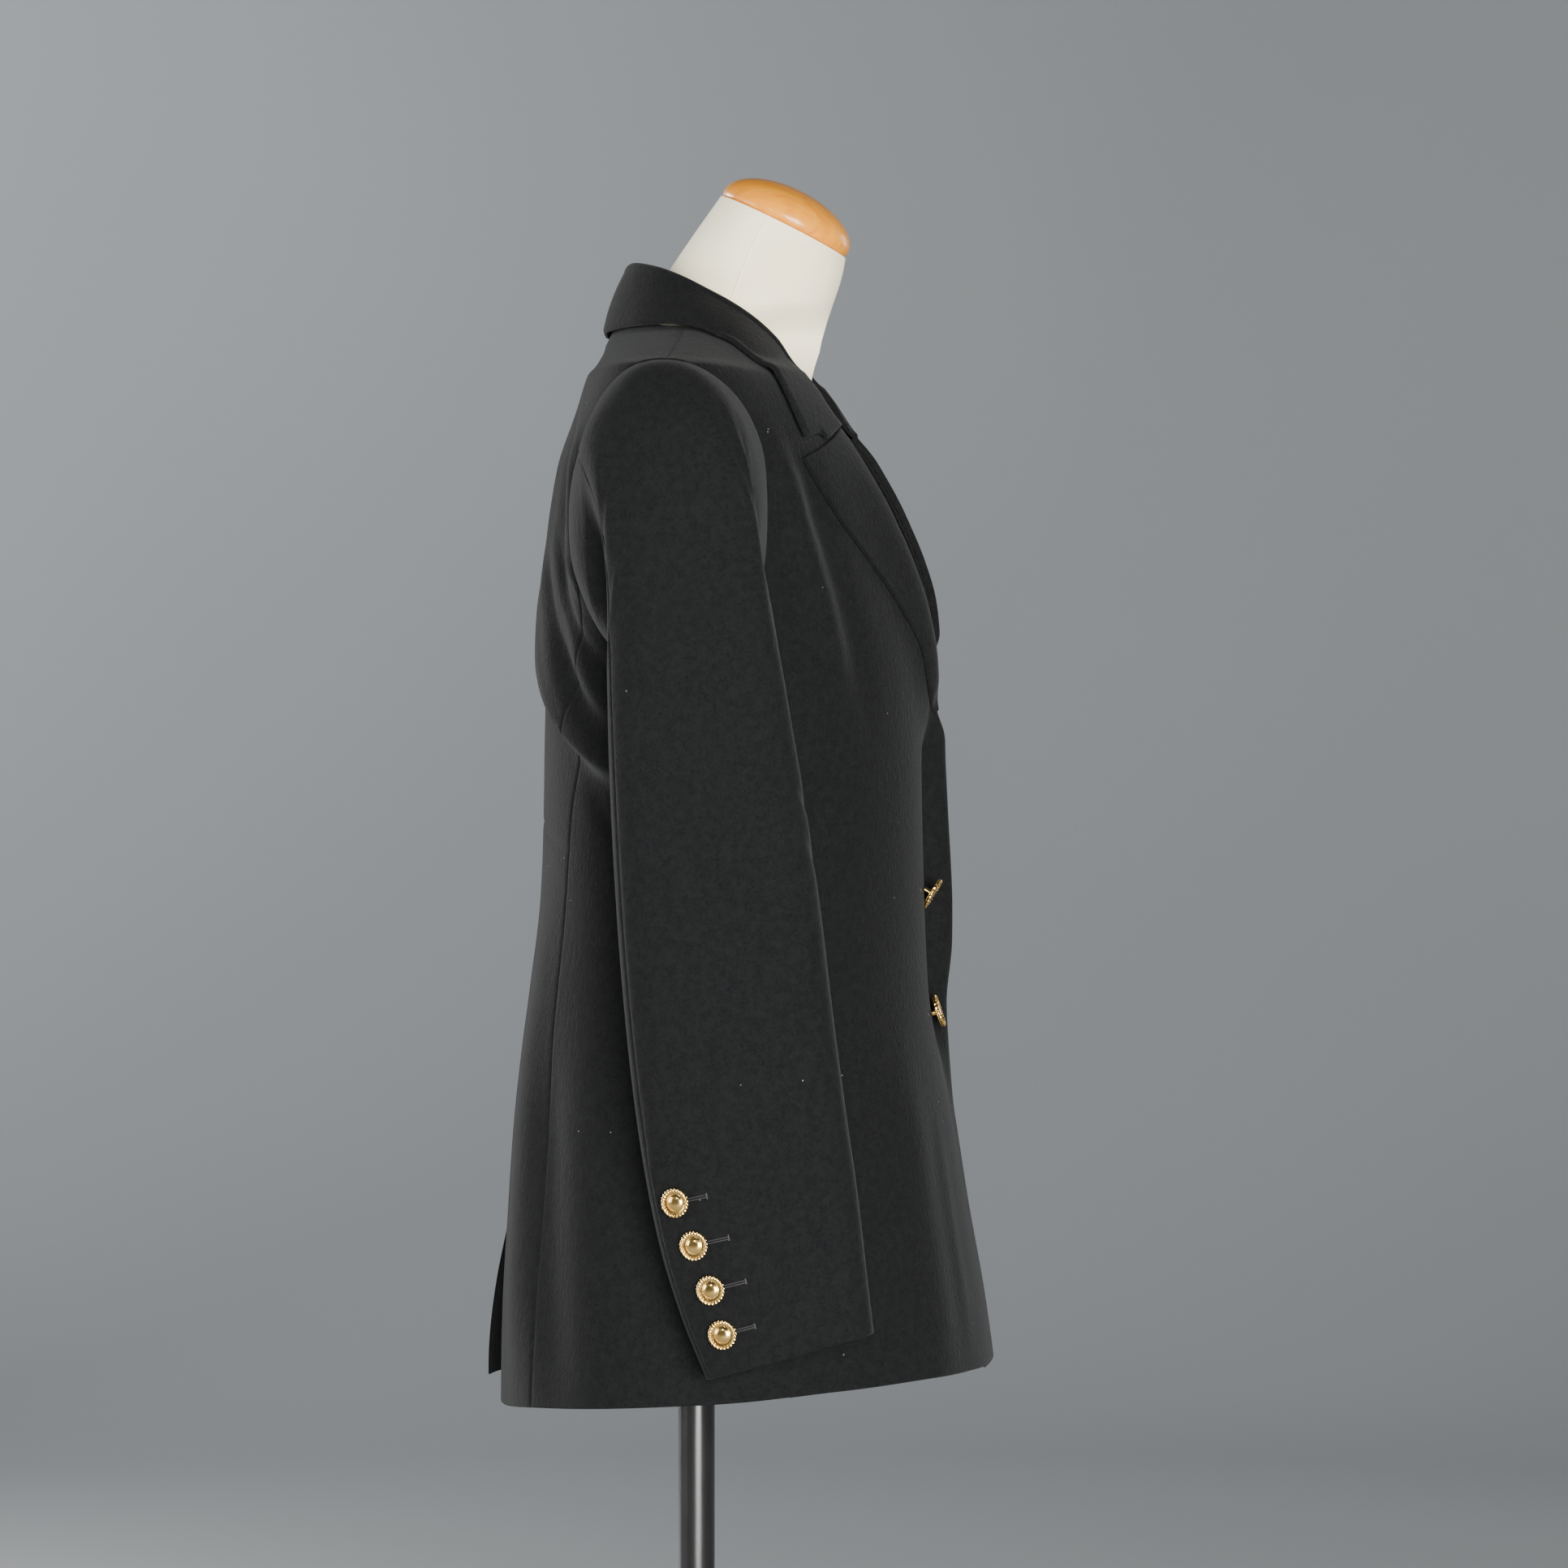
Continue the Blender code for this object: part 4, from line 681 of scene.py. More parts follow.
def body_point(x, fore, height, left, lift=0.0, fine=True):
    """Points of the jacket's outside and their directions outwards, with the folds on them."""
    normal = body_normal(x, fore, height)
    relief = body_relief(x, fore, height, left, fine) + lift
    return point(x, fore, height) + normal * np.asarray(relief)[..., None], normal


def armhole(angle, grow=0.0):
    """x, fore and height of the armhole at an angle from its top, towards the back."""
    across = np.sin(np.radians(angle))
    up = np.cos(np.radians(angle))
    reach = np.where(across > 0, ARM_BACK, ARM_FRONT) + grow
    fore = ARM_FORE - reach * power(across, 2 / ARM_ROUND)
    height = ARM_HEIGHT + (ARM_HALF_HEIGHT + grow) * power(up, 2 / ARM_ROUND)
    return x_at(fore, height), fore, height


_, JOIN_FORE, JOIN_HEIGHT = armhole(ARM_JOIN)
_, FRONT_JOIN_FORE, FRONT_JOIN_HEIGHT = armhole(-ARM_JOIN)


def seam_angle(height, front):
    """Angle of a side seam, which ends at the armhole's join."""
    table = seam_angles(height)[1 if front else 0]
    join = (FRONT_JOIN_FORE, FRONT_JOIN_HEIGHT) if front else (JOIN_FORE, JOIN_HEIGHT)
    turn = smooth((height - SEAM_TURN_HEIGHT) / (JOIN_HEIGHT - SEAM_TURN_HEIGHT))
    return table + (angle_at(*join) - table) * turn


def spaced(length, step=GRID_STEP):
    """Shares from 0 to 1 for a grid about one step apart, with close lines at both borders."""
    close = np.array(CLOSE_LINES) / length
    inner = np.linspace(close[-1], 1 - close[-1], max(int(length / step), 4))
    return np.concatenate([close[:-1], inner, 1 - close[:-1][::-1]])


def along(points, axis):
    """How far each point of a grid lies from its first and from its last line."""
    steps = np.linalg.norm(np.diff(points, axis=axis), axis=-1)
    total = np.cumsum(steps, axis=axis)
    start = np.concatenate([np.zeros_like(np.take(total, [0], axis=axis)), total], axis=axis)
    return start, np.take(start, [-1], axis=axis) - start


def shape_borders(points, normals, thickness, seams):
    """Sinks the cloth into its seams and rounds its free edges.

    seams gives the depth and reach of each sewn border: first_row, last_row, first_column
    and last_column; the borders it leaves out are free.
    """
    distances = dict(zip(("first_row", "last_row"), along(points, 0)))
    distances.update(zip(("first_column", "last_column"), along(points, 1)))
    drop = 0.0
    for name, distance in distances.items():
        if name in seams:
            depth, reach = seams[name]
            drop = np.maximum(drop, depth * bell(distance, reach))
        else:
            near = np.clip(1 - distance / EDGE_ROUND, 0, 1)
            drop = np.maximum(drop, 0.5 * thickness * (1 - np.sqrt(1 - EDGE_STEEP * near ** 2)))
    return points - normals * drop[..., None]


def flat_size(points):
    """Width, length and area of a grid of points as cut flat."""
    width = along(points, 1)[0][:, -1].max()
    length = along(points, 0)[0][-1].max()
    a, b, c, d = points[:-1, :-1], points[:-1, 1:], points[1:, 1:], points[1:, :-1]
    area = np.linalg.norm(np.cross(c - a, d - b), axis=-1).sum() / 2
    return float(width), float(length), float(area)


def link_mesh(name, mesh, material, smooth_angle):
    mesh.materials.append(material)
    mesh.shade_smooth()
    mesh.set_sharp_from_angle(angle=math.radians(smooth_angle))
    obj = bpy.data.objects.new(name, mesh)
    bpy.context.scene.collection.objects.link(obj)
    return obj


def new_object(name, bm, material, smooth_angle=50, turned=True):
    """An object of a bmesh, with its normals turned outwards unless told not to."""
    if turned:
        bmesh.ops.recalc_face_normals(bm, faces=bm.faces)
    mesh = bpy.data.meshes.new(name)
    bm.to_mesh(mesh)
    bm.free()
    return link_mesh(name, mesh, material, smooth_angle)


def object_from(name, points, faces, material, smooth_angle):
    """An object of points and faces, with its normals turned outwards."""
    mesh = bpy.data.meshes.new(name)
    mesh.from_pydata(points.tolist(), [], faces)
    obj = link_mesh(name, mesh, material, smooth_angle)
    bm = bmesh.new()
    bm.from_mesh(mesh)
    bmesh.ops.recalc_face_normals(bm, faces=bm.faces)
    bm.to_mesh(mesh)
    bm.free()
    return obj


def settle(obj, node=None):
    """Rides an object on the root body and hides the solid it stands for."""
    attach(obj, "root")
    if node:
        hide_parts(node)


def grid_quads(index, after=None):
    """Four-cornered faces between the rows of a grid of vertex numbers."""
    if after is None:
        index, after = index[:, :-1], index[:, 1:]
    return np.stack([index[:-1], after[:-1], after[1:], index[1:]], axis=-1).reshape(-1, 4)


def cloth_shell(name, points, normals, thickness, seams, mirror=False, inner=None):
    """A closed thin wall under a grid of outside points, with soft borders."""
    size = flat_size(points)
    outside = shape_borders(points, normals, thickness, seams)
    inside = points - normals * thickness if inner is None else inner
    if mirror:
        flip = np.array((-1, 1, 1))
        outside, inside = outside[:, ::-1] * flip, inside[:, ::-1] * flip
    rows, columns = outside.shape[:2]
    count = rows * columns
    index = np.arange(count).reshape(rows, columns)
    quads = grid_quads(index)
    faces = quads.tolist() + (quads[:, ::-1] + count).tolist()
    border = np.concatenate([index[0], index[1:, -1], index[-1, -2::-1], index[-2:0:-1, 0]])
    for i, k in zip(border, np.roll(border, -1)):
        faces.append([int(i), int(i + count), int(k + count), int(k)])
    vertices = np.concatenate([outside.reshape(-1, 3), inside.reshape(-1, 3)])
    return object_from(name, vertices, faces, wool, 60), size


def declare(obj, node):
    """A cloth piece: it stands for its solid, which is hidden."""
    settle(obj, node)


def join_parts(*parts):
    """One grid of points and normals from grids that follow each other."""
    return tuple(np.concatenate(arrays) for arrays in zip(*parts))


def blend_lines(v, q, bottom, top, outer, inner):
    """x and height of a grid that blends four border lines, each given as (x, height)."""
    result = []
    v = v[:, None]
    q = q[None, :]
    for k in (0, 1):
        value = (1 - v) * bottom[k][None, :] + v * top[k][None, :]
        value = value + (1 - q) * outer[k][:, None] + q * inner[k][:, None]
        value = value - (1 - v) * ((1 - q) * bottom[k][0] + q * bottom[k][-1])
        value = value - v * ((1 - q) * top[k][0] + q * top[k][-1])
        result.append(value)
    return result


def shoulder_seam(q):
    """x and height from the armhole's top to the neck, on the shoulder's ridge."""
    top_x, _, top_height = armhole(0.0)
    neck_x, neck_height = back_neck(1.0)
    height = top_height + (neck_height - top_height) * q
    x = body_ring(height)[0]
    x[0], x[-1] = top_x, neck_x
    return x, height


def back_grid(left):
    """Rows from the hem up, columns from the side to the centre back."""
    share = spaced(BACK_LENGTH)
    q = spaced(BACK_ACROSS)
    angle = seam_angle(SEAM_HEM_HEIGHT, False) * (1 - q)[None, :]
    hem = hem_height(angle)[0]
    if left:
        hem = hem + LEFT_VENT_RAISE * bell(angle, VENT_RAISE_TURN)
    height = hem + (JOIN_HEIGHT - hem) * share[:, None]
    angle = seam_angle(height, False) * (1 - q)[None, :]
    x, fore = ring_place(body_ring, angle, height)
    x = x + VENT_OPEN * smooth((VENT_TOP - height) / VENT_FADE) * bell(x, VENT_OPEN_REACH)
    low = body_point(x, fore, height, left)
    v = spaced(UPPER_LENGTH)[1:]
    join = np.full(len(q), JOIN_HEIGHT)
    bottom_x, _ = ring_place(body_ring, seam_angle(JOIN_HEIGHT, False) * (1 - q), join)
    arm_x, _, arm_height = armhole(ARM_JOIN * (1 - v))
    x, height = blend_lines(v, q, (bottom_x, join), shoulder_seam(q),
                            (arm_x, arm_height), back_neck(v))
    x = np.minimum(x, body_ring(height)[0])
    return join_parts(low, body_point(x, fore_at(x, height, True), height, left))


def side_grid(left):
    """Rows from the hem to the armhole's bottom, columns from the front to the back seam."""
    share = spaced(SIDE_LENGTH)[:, None]
    q = spaced(SIDE_ACROSS)[None, :]
    arm_angle = -ARM_JOIN - (360 - 2 * ARM_JOIN) * q
    _, top_fore, top = armhole(arm_angle)

    def between(level):
        return seam_angle(level, True) * (1 - q) + seam_angle(level, False) * q

    hem = hem_height(between(SEAM_HEM_HEIGHT))[0]
    height = hem + (top - hem) * share
    turn = smooth((share - SIDE_TURN_SHARE) / (1 - SIDE_TURN_SHARE))
    angle = between(height) + (angle_at(top_fore, top) - between(top)) * turn
    x, fore = ring_place(body_ring, angle, height)
    return body_point(x, fore, height, left)


def front_grid(left):
    """Rows from the hem up, columns from the centre front to the side."""
    split = FRONT_EDGE_COLUMNS / FRONT_COLUMNS
    q = spaced(FRONT_ACROSS)
    share = spaced(FRONT_LENGTH)[:, None]
    hem = hem_height(180.0)[0]
    height = hem + (FRONT_JOIN_HEIGHT - hem) * share + 0 * q[None, :]
    edge = front_edge(height)[0]
    near = np.minimum(q / split, 1)[None, :]
    near_x = edge + (FRONT_EDGE_START - edge) * near
    start = angle_at(fore_at(FRONT_EDGE_START, height, False), height)
    beyond = np.clip((q - split) / (1 - split), 0, 1)[None, :]
    guess = start + (seam_angle(height, True) - start) * beyond
    low_hem = hem_height(guess)[0]
    side_height = low_hem + (FRONT_JOIN_HEIGHT - low_hem) * share
    angle = start + (seam_angle(side_height, True) - start) * beyond
    side_x, side_fore = ring_place(body_ring, angle, side_height)
    inside = (q <= split)[None, :]
    x = np.where(inside, near_x, side_x)
    fore = np.where(inside, fore_at(near_x, height, False), side_fore)
    height = np.where(inside, height, side_height)
    low = body_point(x, fore, height, left)
    v = spaced(UPPER_LENGTH)[1:]
    neck = back_neck(1.0)[1]
    inner_height = height[-1, 0] + (neck - height[-1, 0]) * v ** 0.9
    arm_x, _, arm_height = armhole(-ARM_JOIN * (1 - v))
    seam_x, seam_height = shoulder_seam(1 - q[::-1])
    top = (seam_x[::-1], seam_height[::-1])
    x, height = blend_lines(v, q, (x[-1], height[-1]), top,
                            (front_edge(inner_height)[0], inner_height), (arm_x, arm_height))
    x = np.minimum(x, body_ring(height)[0])
    return join_parts(low, body_point(x, fore_at(x, height, False), height, left))


def sleeve_base(angle, share):
    """A point of the sleeve; the angle runs from the outer line towards the back."""
    outer_x, outer_z, inner_x, inner_z, back, front, rise, square = sleeve_ring(share)
    out = power(np.cos(np.radians(angle)), 2 / square)
    aft = power(np.sin(np.radians(angle)), 2 / square)
    half = (front - back) / 2
    fore = (front + back) / 2 - half * aft
    x = (outer_x + inner_x) / 2 + (outer_x - inner_x) / 2 * out
    height = (outer_z + inner_z) / 2 + (outer_z - inner_z) / 2 * out - rise * half * aft
    return point(x, fore, height)


def sleeve_place(angle, share, left):
    """A point of the sleeve, blended at its top into the armhole."""
    x, fore, height = armhole(angle, SLEEVE_OVER_EDGE)
    seat, _ = body_point(x, fore, height, left, SEAT_GAP, fine=False)
    keep = np.clip(1 - share / ARMHOLE_BLEND, 0, 1) ** 2
    return sleeve_base(angle, share) + (seat - sleeve_base(angle, 0 * share)) * keep[..., None]


def sleeve_point(angle, share, left, fine=True):
    """Points of the sleeve's outside and their directions outwards, with its creases."""
    turn, slide = 2.0, 0.004
    angle, share = np.broadcast_arrays(angle, share)
    low, high = np.maximum(share - slide, 0), np.minimum(share + slide, 1)
    around = sleeve_place(angle + turn, share, left) - sleeve_place(angle - turn, share, left)
    down = sleeve_place(angle, high, left) - sleeve_place(angle, low, left)
    normal = unit(np.cross(down, around))
    body = body_normal(*armhole(angle, SLEEVE_OVER_EDGE))
    sewn = np.clip(1 - share / SEWN_SHARE, 0, 1)[..., None]
    normal = unit(normal - body * (normal * body).sum(axis=-1, keepdims=True) * sewn)
    relief = 0.0
    for crease in SLEEVE_CREASES:
        if crease.slant and not fine:
            continue
        off = share - crease.place
        lean = angle - crease.angle - crease.slant * off / SLANT_LENGTH
        lean = (lean + 180) % 360 - 180
        near = bell(lean, crease.angle_reach) * bell(off, crease.length_reach)
        relief = relief + crease.depth * near
    relief = relief * smooth(share / CREASE_START)
    return sleeve_place(angle, share, left) + normal * relief[..., None], normal


def stand_clear(place, clear):
    """Moves points out along the body's normal until they are clear of the jacket."""
    left = place[..., 0] > 0
    for _ in range(3):
        x, fore, height = np.abs(place[..., 0]), -place[..., 1], place[..., 2]
        gradient = level_gradient(x, fore, height)
        steep = np.linalg.norm(gradient, axis=-1)
        away = (ring_level(x, fore, height) - 1) / steep
        side = body_ring(height)[2]
        relief = fold_relief(FOLDS, x, fore, height, side)
        front = smooth((fore - side) / FRONT_FADE) * front_lift(x, height, left)
        relief = relief + np.where(fore > side, front, 0)
        short = (relief + clear - away) * smooth((NECK_TOP - height) / NECK_FADE)
        normal = gradient / steep[..., None]
        normal[..., 0] = np.where(place[..., 0] < 0, -normal[..., 0], normal[..., 0])
        place = place + normal * np.maximum(short, 0)[..., None]
    return place


def collar_lines(share, stand_points=6, fold_points=9, fall_points=18):
    """Sections of the collar: up the stand, over the fold and down the fall."""
    values = collar_section(np.abs(share))
    sign = np.where(share < 0, -1, 1)
    seam, fold, edge = (point(sign * values[i], values[i + 1], values[i + 2]) for i in (0, 3, 6))
    out = edge - seam
    out[:, 2] = 0
    out = unit(out)
    up = np.array((0, 0, 1.0))
    radius = COLLAR_FOLD_RADIUS
    flat = smooth((np.abs(share) - COLLAR_FLAT_START) / COLLAR_FLAT_FADE)[:, None]
    gorge = smooth((np.abs(share) - GORGE_START) / GORGE_FADE)[:, None]
    lapel_top = LAPEL_ROWS[-1]
    centre = fold - up * (COLLAR_CLOTH / 2 + radius)
    inside = centre - out * radius
    outside = centre + out * radius
    lines = []
    for t in np.linspace(0, 1, stand_points):
        place = seam + (inside - seam) * t
        lines.append(place + (stand_clear(place, STAND_CLEAR) - place) * flat)
    for turn in np.linspace(180, 0, fold_points + 2)[1:-1]:
        swing = math.radians(turn)
        place = centre + out * radius * math.cos(swing) + up * radius * math.sin(swing)
        lines.append(place + (stand_clear(place, COLLAR_CLEAR) - place) * flat)
    for t in np.linspace(0, 1, fall_points) ** 0.9:
        bow = 4 * t * (1 - t) * COLLAR_FALL_BOW
        place = outside + (edge - outside) * t + out * bow
        meet = lapel_top[2] + (lapel_top[4] - lapel_top[2]) * t + GORGE_GAP
        drop = (place[:, 2] - meet) * (1 - smooth((t - NOTCH_SHARE) / NOTCH_FADE))
        place = place - up * (gorge * drop[:, None])
        lines.append(stand_clear(place, COLLAR_CLEAR + COLLAR_FALL_MORE * flat[:, 0]))
    return np.stack(lines, axis=1)


def grid_normals(points):
    down = np.gradient(points, axis=0)
    across = np.gradient(points, axis=1)
    return unit(np.cross(down, across))


def lapel_grid(left):
    """Rows from the break up to the gorge, columns from the roll line to the outer edge."""
    t = spaced(LAPEL_LENGTH, LAPEL_STEP)[:, None]
    q = spaced(LAPEL_ACROSS, LAPEL_STEP)[None, :]
    roll_x, roll_z, edge_x, edge_z = lapel_row(t)
    x = roll_x + (edge_x - roll_x) * q
    height = roll_z + (edge_z - roll_z) * q
    lift = LAPEL_LIFT + (ROLL_LIFT - LAPEL_LIFT) * (1 - q) + LAPEL_BOW * np.sin(np.pi * q)
    lift = lift + LEFT_LAPEL_MORE * left
    full = smooth(t / LAPEL_TAPER)
    lift = LAPEL_END_LIFT + (lift - LAPEL_END_LIFT) * full
    points, normals = body_point(x, fore_at(x, height, False), height, left, lift, fine=False)
    thickness = LAPEL_END_CLOTH + (LAPEL_CLOTH - LAPEL_END_CLOTH) * full
    roll = 1 - smooth(q / LAPEL_ROLL_SHARE)
    thickness = thickness + (lift - LAPEL_ROLL_GAP - thickness) * roll
    return points, normals, points - normals * thickness[..., None]


# Materials

def feed(tree, socket, value):
    """Links a socket to another node's output, or sets it to a number or colour."""
    if isinstance(value, bpy.types.NodeSocket):
        tree.links.new(value, socket)
    elif socket.type == "RGBA":
        socket.default_value = (*value, 1)
    else:
        socket.default_value = value


def add_node(tree, kind, **inputs):
    """A node whose inputs are linked or set by name."""
    made = tree.nodes.new(kind)
    for name, value in inputs.items():
        feed(tree, made.inputs[name.replace("_", " ")], value)
    return made


def new_material(name, roughness, metallic=0.0, **inputs):
    made = bpy.data.materials.new(name)
    made.use_nodes = True
    shader = made.node_tree.nodes["Principled BSDF"]
    for key, value in {"Roughness": roughness, "Metallic": metallic, **inputs}.items():
        feed(made.node_tree, shader.inputs[key.replace("_", " ")], value)
    return made, made.node_tree, shader


def noise(tree, place, scale, detail, rough=0.5, distortion=0.0):
    return add_node(tree, "ShaderNodeTexNoise", Vector=place, Scale=scale, Detail=detail,
                    Roughness=rough, Distortion=distortion).outputs["Fac"]


def ramp(tree, value, *stops):
    """A colour ramp over a value; each stop is a place and a colour or a grey."""
    made = add_node(tree, "ShaderNodeValToRGB", Fac=value)
    elements = made.color_ramp.elements
    while len(elements) < len(stops):
        elements.new(0.5)
    for element, (place, color) in zip(elements, stops):
        element.position = place
        element.color = (*(color if isinstance(color, tuple) else (color,) * 3), 1)
    return made.outputs["Color"]


def math_node(tree, operation, *values):
    made = tree.nodes.new("ShaderNodeMath")
    made.operation = operation
    for socket, value in zip(made.inputs, values):
        feed(tree, socket, value)
    return made.outputs[0]


def mix_color(tree, value, share, a, b):
    """Colour a turns to b by that share of a value."""
    made = tree.nodes.new("ShaderNodeMix")
    made.data_type = "RGBA"
    feed(tree, made.inputs["Factor"], math_node(tree, "MULTIPLY", value, share))
    feed(tree, made.inputs[6], a)
    feed(tree, made.inputs[7], b)
    return made.outputs[2]


def add_bump(tree, shader, *layers):
    """Bump layers as (height, strength, distance), the coarsest first."""
    normal = None
    for height, strength, distance in layers:
        bump = add_node(tree, "ShaderNodeBump", Height=height, Strength=strength, Distance=distance)
        if normal is not None:
            tree.links.new(normal, bump.inputs["Normal"])
        normal = bump.outputs["Normal"]
    tree.links.new(normal, shader.inputs["Normal"])


def object_coordinates(tree, scale=(1, 1, 1)):
    place = tree.nodes.new("ShaderNodeTexCoord").outputs["Object"]
    return add_node(tree, "ShaderNodeMapping", Vector=place, Scale=scale).outputs["Vector"]


def make_wool():
    """Black wool crepe: a fine pebbled weave, a faint nap and a few specks of lint."""
    made, tree, shader = new_material(
        "wool_crepe", 0.92, Sheen_Weight=0.04, Sheen_Roughness=0.4,
        Sheen_Tint=(0.85, 0.88, 0.92), Specular_IOR_Level=0.12)
    place = object_coordinates(tree)
    pebble = noise(tree, place, 640, 3, 0.65)
    slub = noise(tree, object_coordinates(tree, (1, 1, 0.3)), 380, 2)
    cloud = noise(tree, place, 26, 3)
    nap = noise(tree, place, 190, 4, 0.7)
    base = ramp(tree, pebble, (0.32, (0.0020, 0.0022, 0.0025)), (0.68, (0.0064, 0.0068, 0.0075)))
    base = mix_color(tree, cloud, 0.35, base, (0.0055, 0.0059, 0.0065))
    worn = ramp(tree, nap, (0.42, 0), (0.62, 1))
    base = mix_color(tree, worn, 0.30, base, (0.0108, 0.0112, 0.0118))
    cells = add_node(tree, "ShaderNodeTexVoronoi", Vector=place, Scale=74)
    middle = math_node(tree, "LESS_THAN", cells.outputs["Distance"], 0.030)
    picked = add_node(tree, "ShaderNodeSeparateColor", Color=cells.outputs["Color"]).outputs[0]
    chosen = math_node(tree, "GREATER_THAN", picked, 0.62)
    lint = math_node(tree, "MULTIPLY", middle, chosen)
    base = mix_color(tree, lint, 0.55, base, (0.42, 0.42, 0.40))
    tree.links.new(base, shader.inputs["Base Color"])
    add_bump(tree, shader, (cloud, 0.12, 0.004), (nap, 0.30, 0.0012), (slub, 0.40, 0.0008),
             (pebble, 0.70, 0.0008))
    return made


def make_thread():
    made, tree, shader = new_material("buttonhole_thread", 0.55, Specular_IOR_Level=0.4)
    twist = noise(tree, object_coordinates(tree), 1600, 2)
    tone = ramp(tree, twist, (0.3, (0.008, 0.008, 0.009)), (0.7, (0.022, 0.022, 0.024)))
    tree.links.new(tone, shader.inputs["Base Color"])
    add_bump(tree, shader, (twist, 0.6, 0.0004))
    return made


def make_gold():
    made, tree, shader = new_material("gold_metal", 0.22, 1.0)
    place = object_coordinates(tree)
    cloud = noise(tree, place, 160, 3)
    tone = ramp(tree, cloud, (0.3, (0.88, 0.55, 0.15)), (0.7, (1.0, 0.70, 0.27)))
    tree.links.new(tone, shader.inputs["Base Color"])
    rough = ramp(tree, noise(tree, place, 420, 3), (0.3, 0.12), (0.7, 0.24))
    tree.links.new(rough, shader.inputs["Roughness"])
    add_bump(tree, shader, (noise(tree, place, 900, 2), 0.12, 0.0003))
    return made


def make_canvas():
    """Stretched cream jersey: fine ribs round the neck and a little unevenness."""
    made, tree, shader = new_material("cream_jersey", 0.82, Sheen_Weight=0.15, Sheen_Roughness=0.5)
    place = object_coordinates(tree)
    ribs = add_node(tree, "ShaderNodeTexWave", Vector=place, Scale=230, Distortion=1.2, Detail=1)
    ribs.bands_direction = "Z"
    cloud = noise(tree, place, 22, 3)
    tone = ramp(tree, cloud, (0.3, (0.96, 0.86, 0.60)), (0.7, (1.0, 0.93, 0.70)))
    tree.links.new(tone, shader.inputs["Base Color"])
    add_bump(tree, shader, (cloud, 0.1, 0.003), (ribs.outputs["Fac"], 0.25, 0.0004),
             (noise(tree, place, 1300, 2), 0.25, 0.0003))
    return made


def make_wood():
    """Amber varnished wood with long grain along the cap's slope."""
    made, tree, shader = new_material("amber_wood", 0.34, Coat_Weight=0.35, Coat_Roughness=0.10,
                                      Specular_IOR_Level=0.3)
    grain = noise(tree, object_coordinates(tree, (1.0, 0.16, 0.5)), 210, 5, 0.6, 0.6)
    fine = noise(tree, object_coordinates(tree, (1.0, 0.05, 0.4)), 900, 3)
    base = ramp(tree, grain, (0.28, (0.62, 0.20, 0.006)), (0.52, (0.78, 0.29, 0.010)),
                (0.74, (0.86, 0.36, 0.016)))
    base = mix_color(tree, fine, 0.20, base, (0.50, 0.20, 0.025))
    tree.links.new(base, shader.inputs["Base Color"])
    add_bump(tree, shader, (grain, 0.08, 0.0006))
    return made


def make_black_metal():
    made, tree, shader = new_material("black_gloss_metal", 0.24, Coat_Weight=0.3,
                                      Coat_Roughness=0.12)
    place = object_coordinates(tree, (1, 1, 0.25))
    tone = ramp(tree, noise(tree, place, 60, 4), (0.3, (0.006, 0.006, 0.0065)),
                (0.8, (0.014, 0.014, 0.015)))
    tree.links.new(tone, shader.inputs["Base Color"])
    rough = ramp(tree, noise(tree, place, 130, 4), (0.35, 0.23), (0.75, 0.29))
    tree.links.new(rough, shader.inputs["Roughness"])
    return made


def make_stage_paint():
    made, tree, shader = new_material("studio_paint", 0.9)
    cloud = noise(tree, object_coordinates(tree), 0.35, 2)
    tone = ramp(tree, cloud, (0.2, (0.275, 0.29, 0.305)), (0.8, (0.31, 0.325, 0.34)))
    tree.links.new(tone, shader.inputs["Base Color"])
    return made


wool = make_wool()
thread = make_thread()
gold = make_gold()
canvas = make_canvas()
wood = make_wood()
black_metal = make_black_metal()


# Jacket body

def make_body():
    sewn = {"first_column": PLAIN_SEAM, "last_column": PLAIN_SEAM}
    seams = {
        "back": {**sewn, "last_row": SHOULDER_SEAM},
        "side_panel": {**sewn, "last_row": PLAIN_SEAM},
        "front": {"last_column": PLAIN_SEAM, "last_row": SHOULDER_SEAM},
    }
    for left, side in SIDES:
        for part, grid, rests_on in (
            ("back", back_grid, "form_torso"),
            ("side_panel", side_grid, f"front_{side}"),
            ("front", front_grid, "form_torso"),
        ):
            obj, size = cloth_shell(f"wool_{part}_{side}", *grid(left), CLOTH, seams[part],
                                    not left)
            declare(obj, f"{part}_{side}")


# Sleeves

def sleeve_grid(first, last, width, left):
    """Rows down the sleeve, columns round it from one seam to the other."""
    share = spaced(SLEEVE_LENGTH)[:, None]
    angle = first + (last - first) * spaced(width)[None, :]
    return share, angle, *sleeve_point(angle, share, left)


def make_sleeves():
    seams = {"first_row": ARMHOLE_SEAM, "first_column": PLAIN_SEAM, "last_column": PLAIN_SEAM}
    for left, side in SIDES:
        share, angle, points, normals = sleeve_grid(HINDARM, -ARM_JOIN, TOP_SLEEVE_ACROSS, left)
        vent = smooth((share - SLEEVE_VENT_SHARE) / SLEEVE_VENT_FADE)
        vent = vent * bell(angle - HINDARM, SLEEVE_VENT_REACH)
        points = points + normals * (SLEEVE_VENT_STEP * vent)[..., None]
        obj, size = cloth_shell(f"wool_top_sleeve_{side}", points, normals, CLOTH, seams, not left)
        declare(obj, f"top_sleeve_{side}")
        _, _, points, normals = sleeve_grid(360 - ARM_JOIN, HINDARM, UNDER_SLEEVE_ACROSS, left)
        obj, size = cloth_shell(f"wool_under_sleeve_{side}", points, normals, CLOTH, seams,
                                not left)
        declare(obj, f"under_sleeve_{side}")


# Collar and lapels

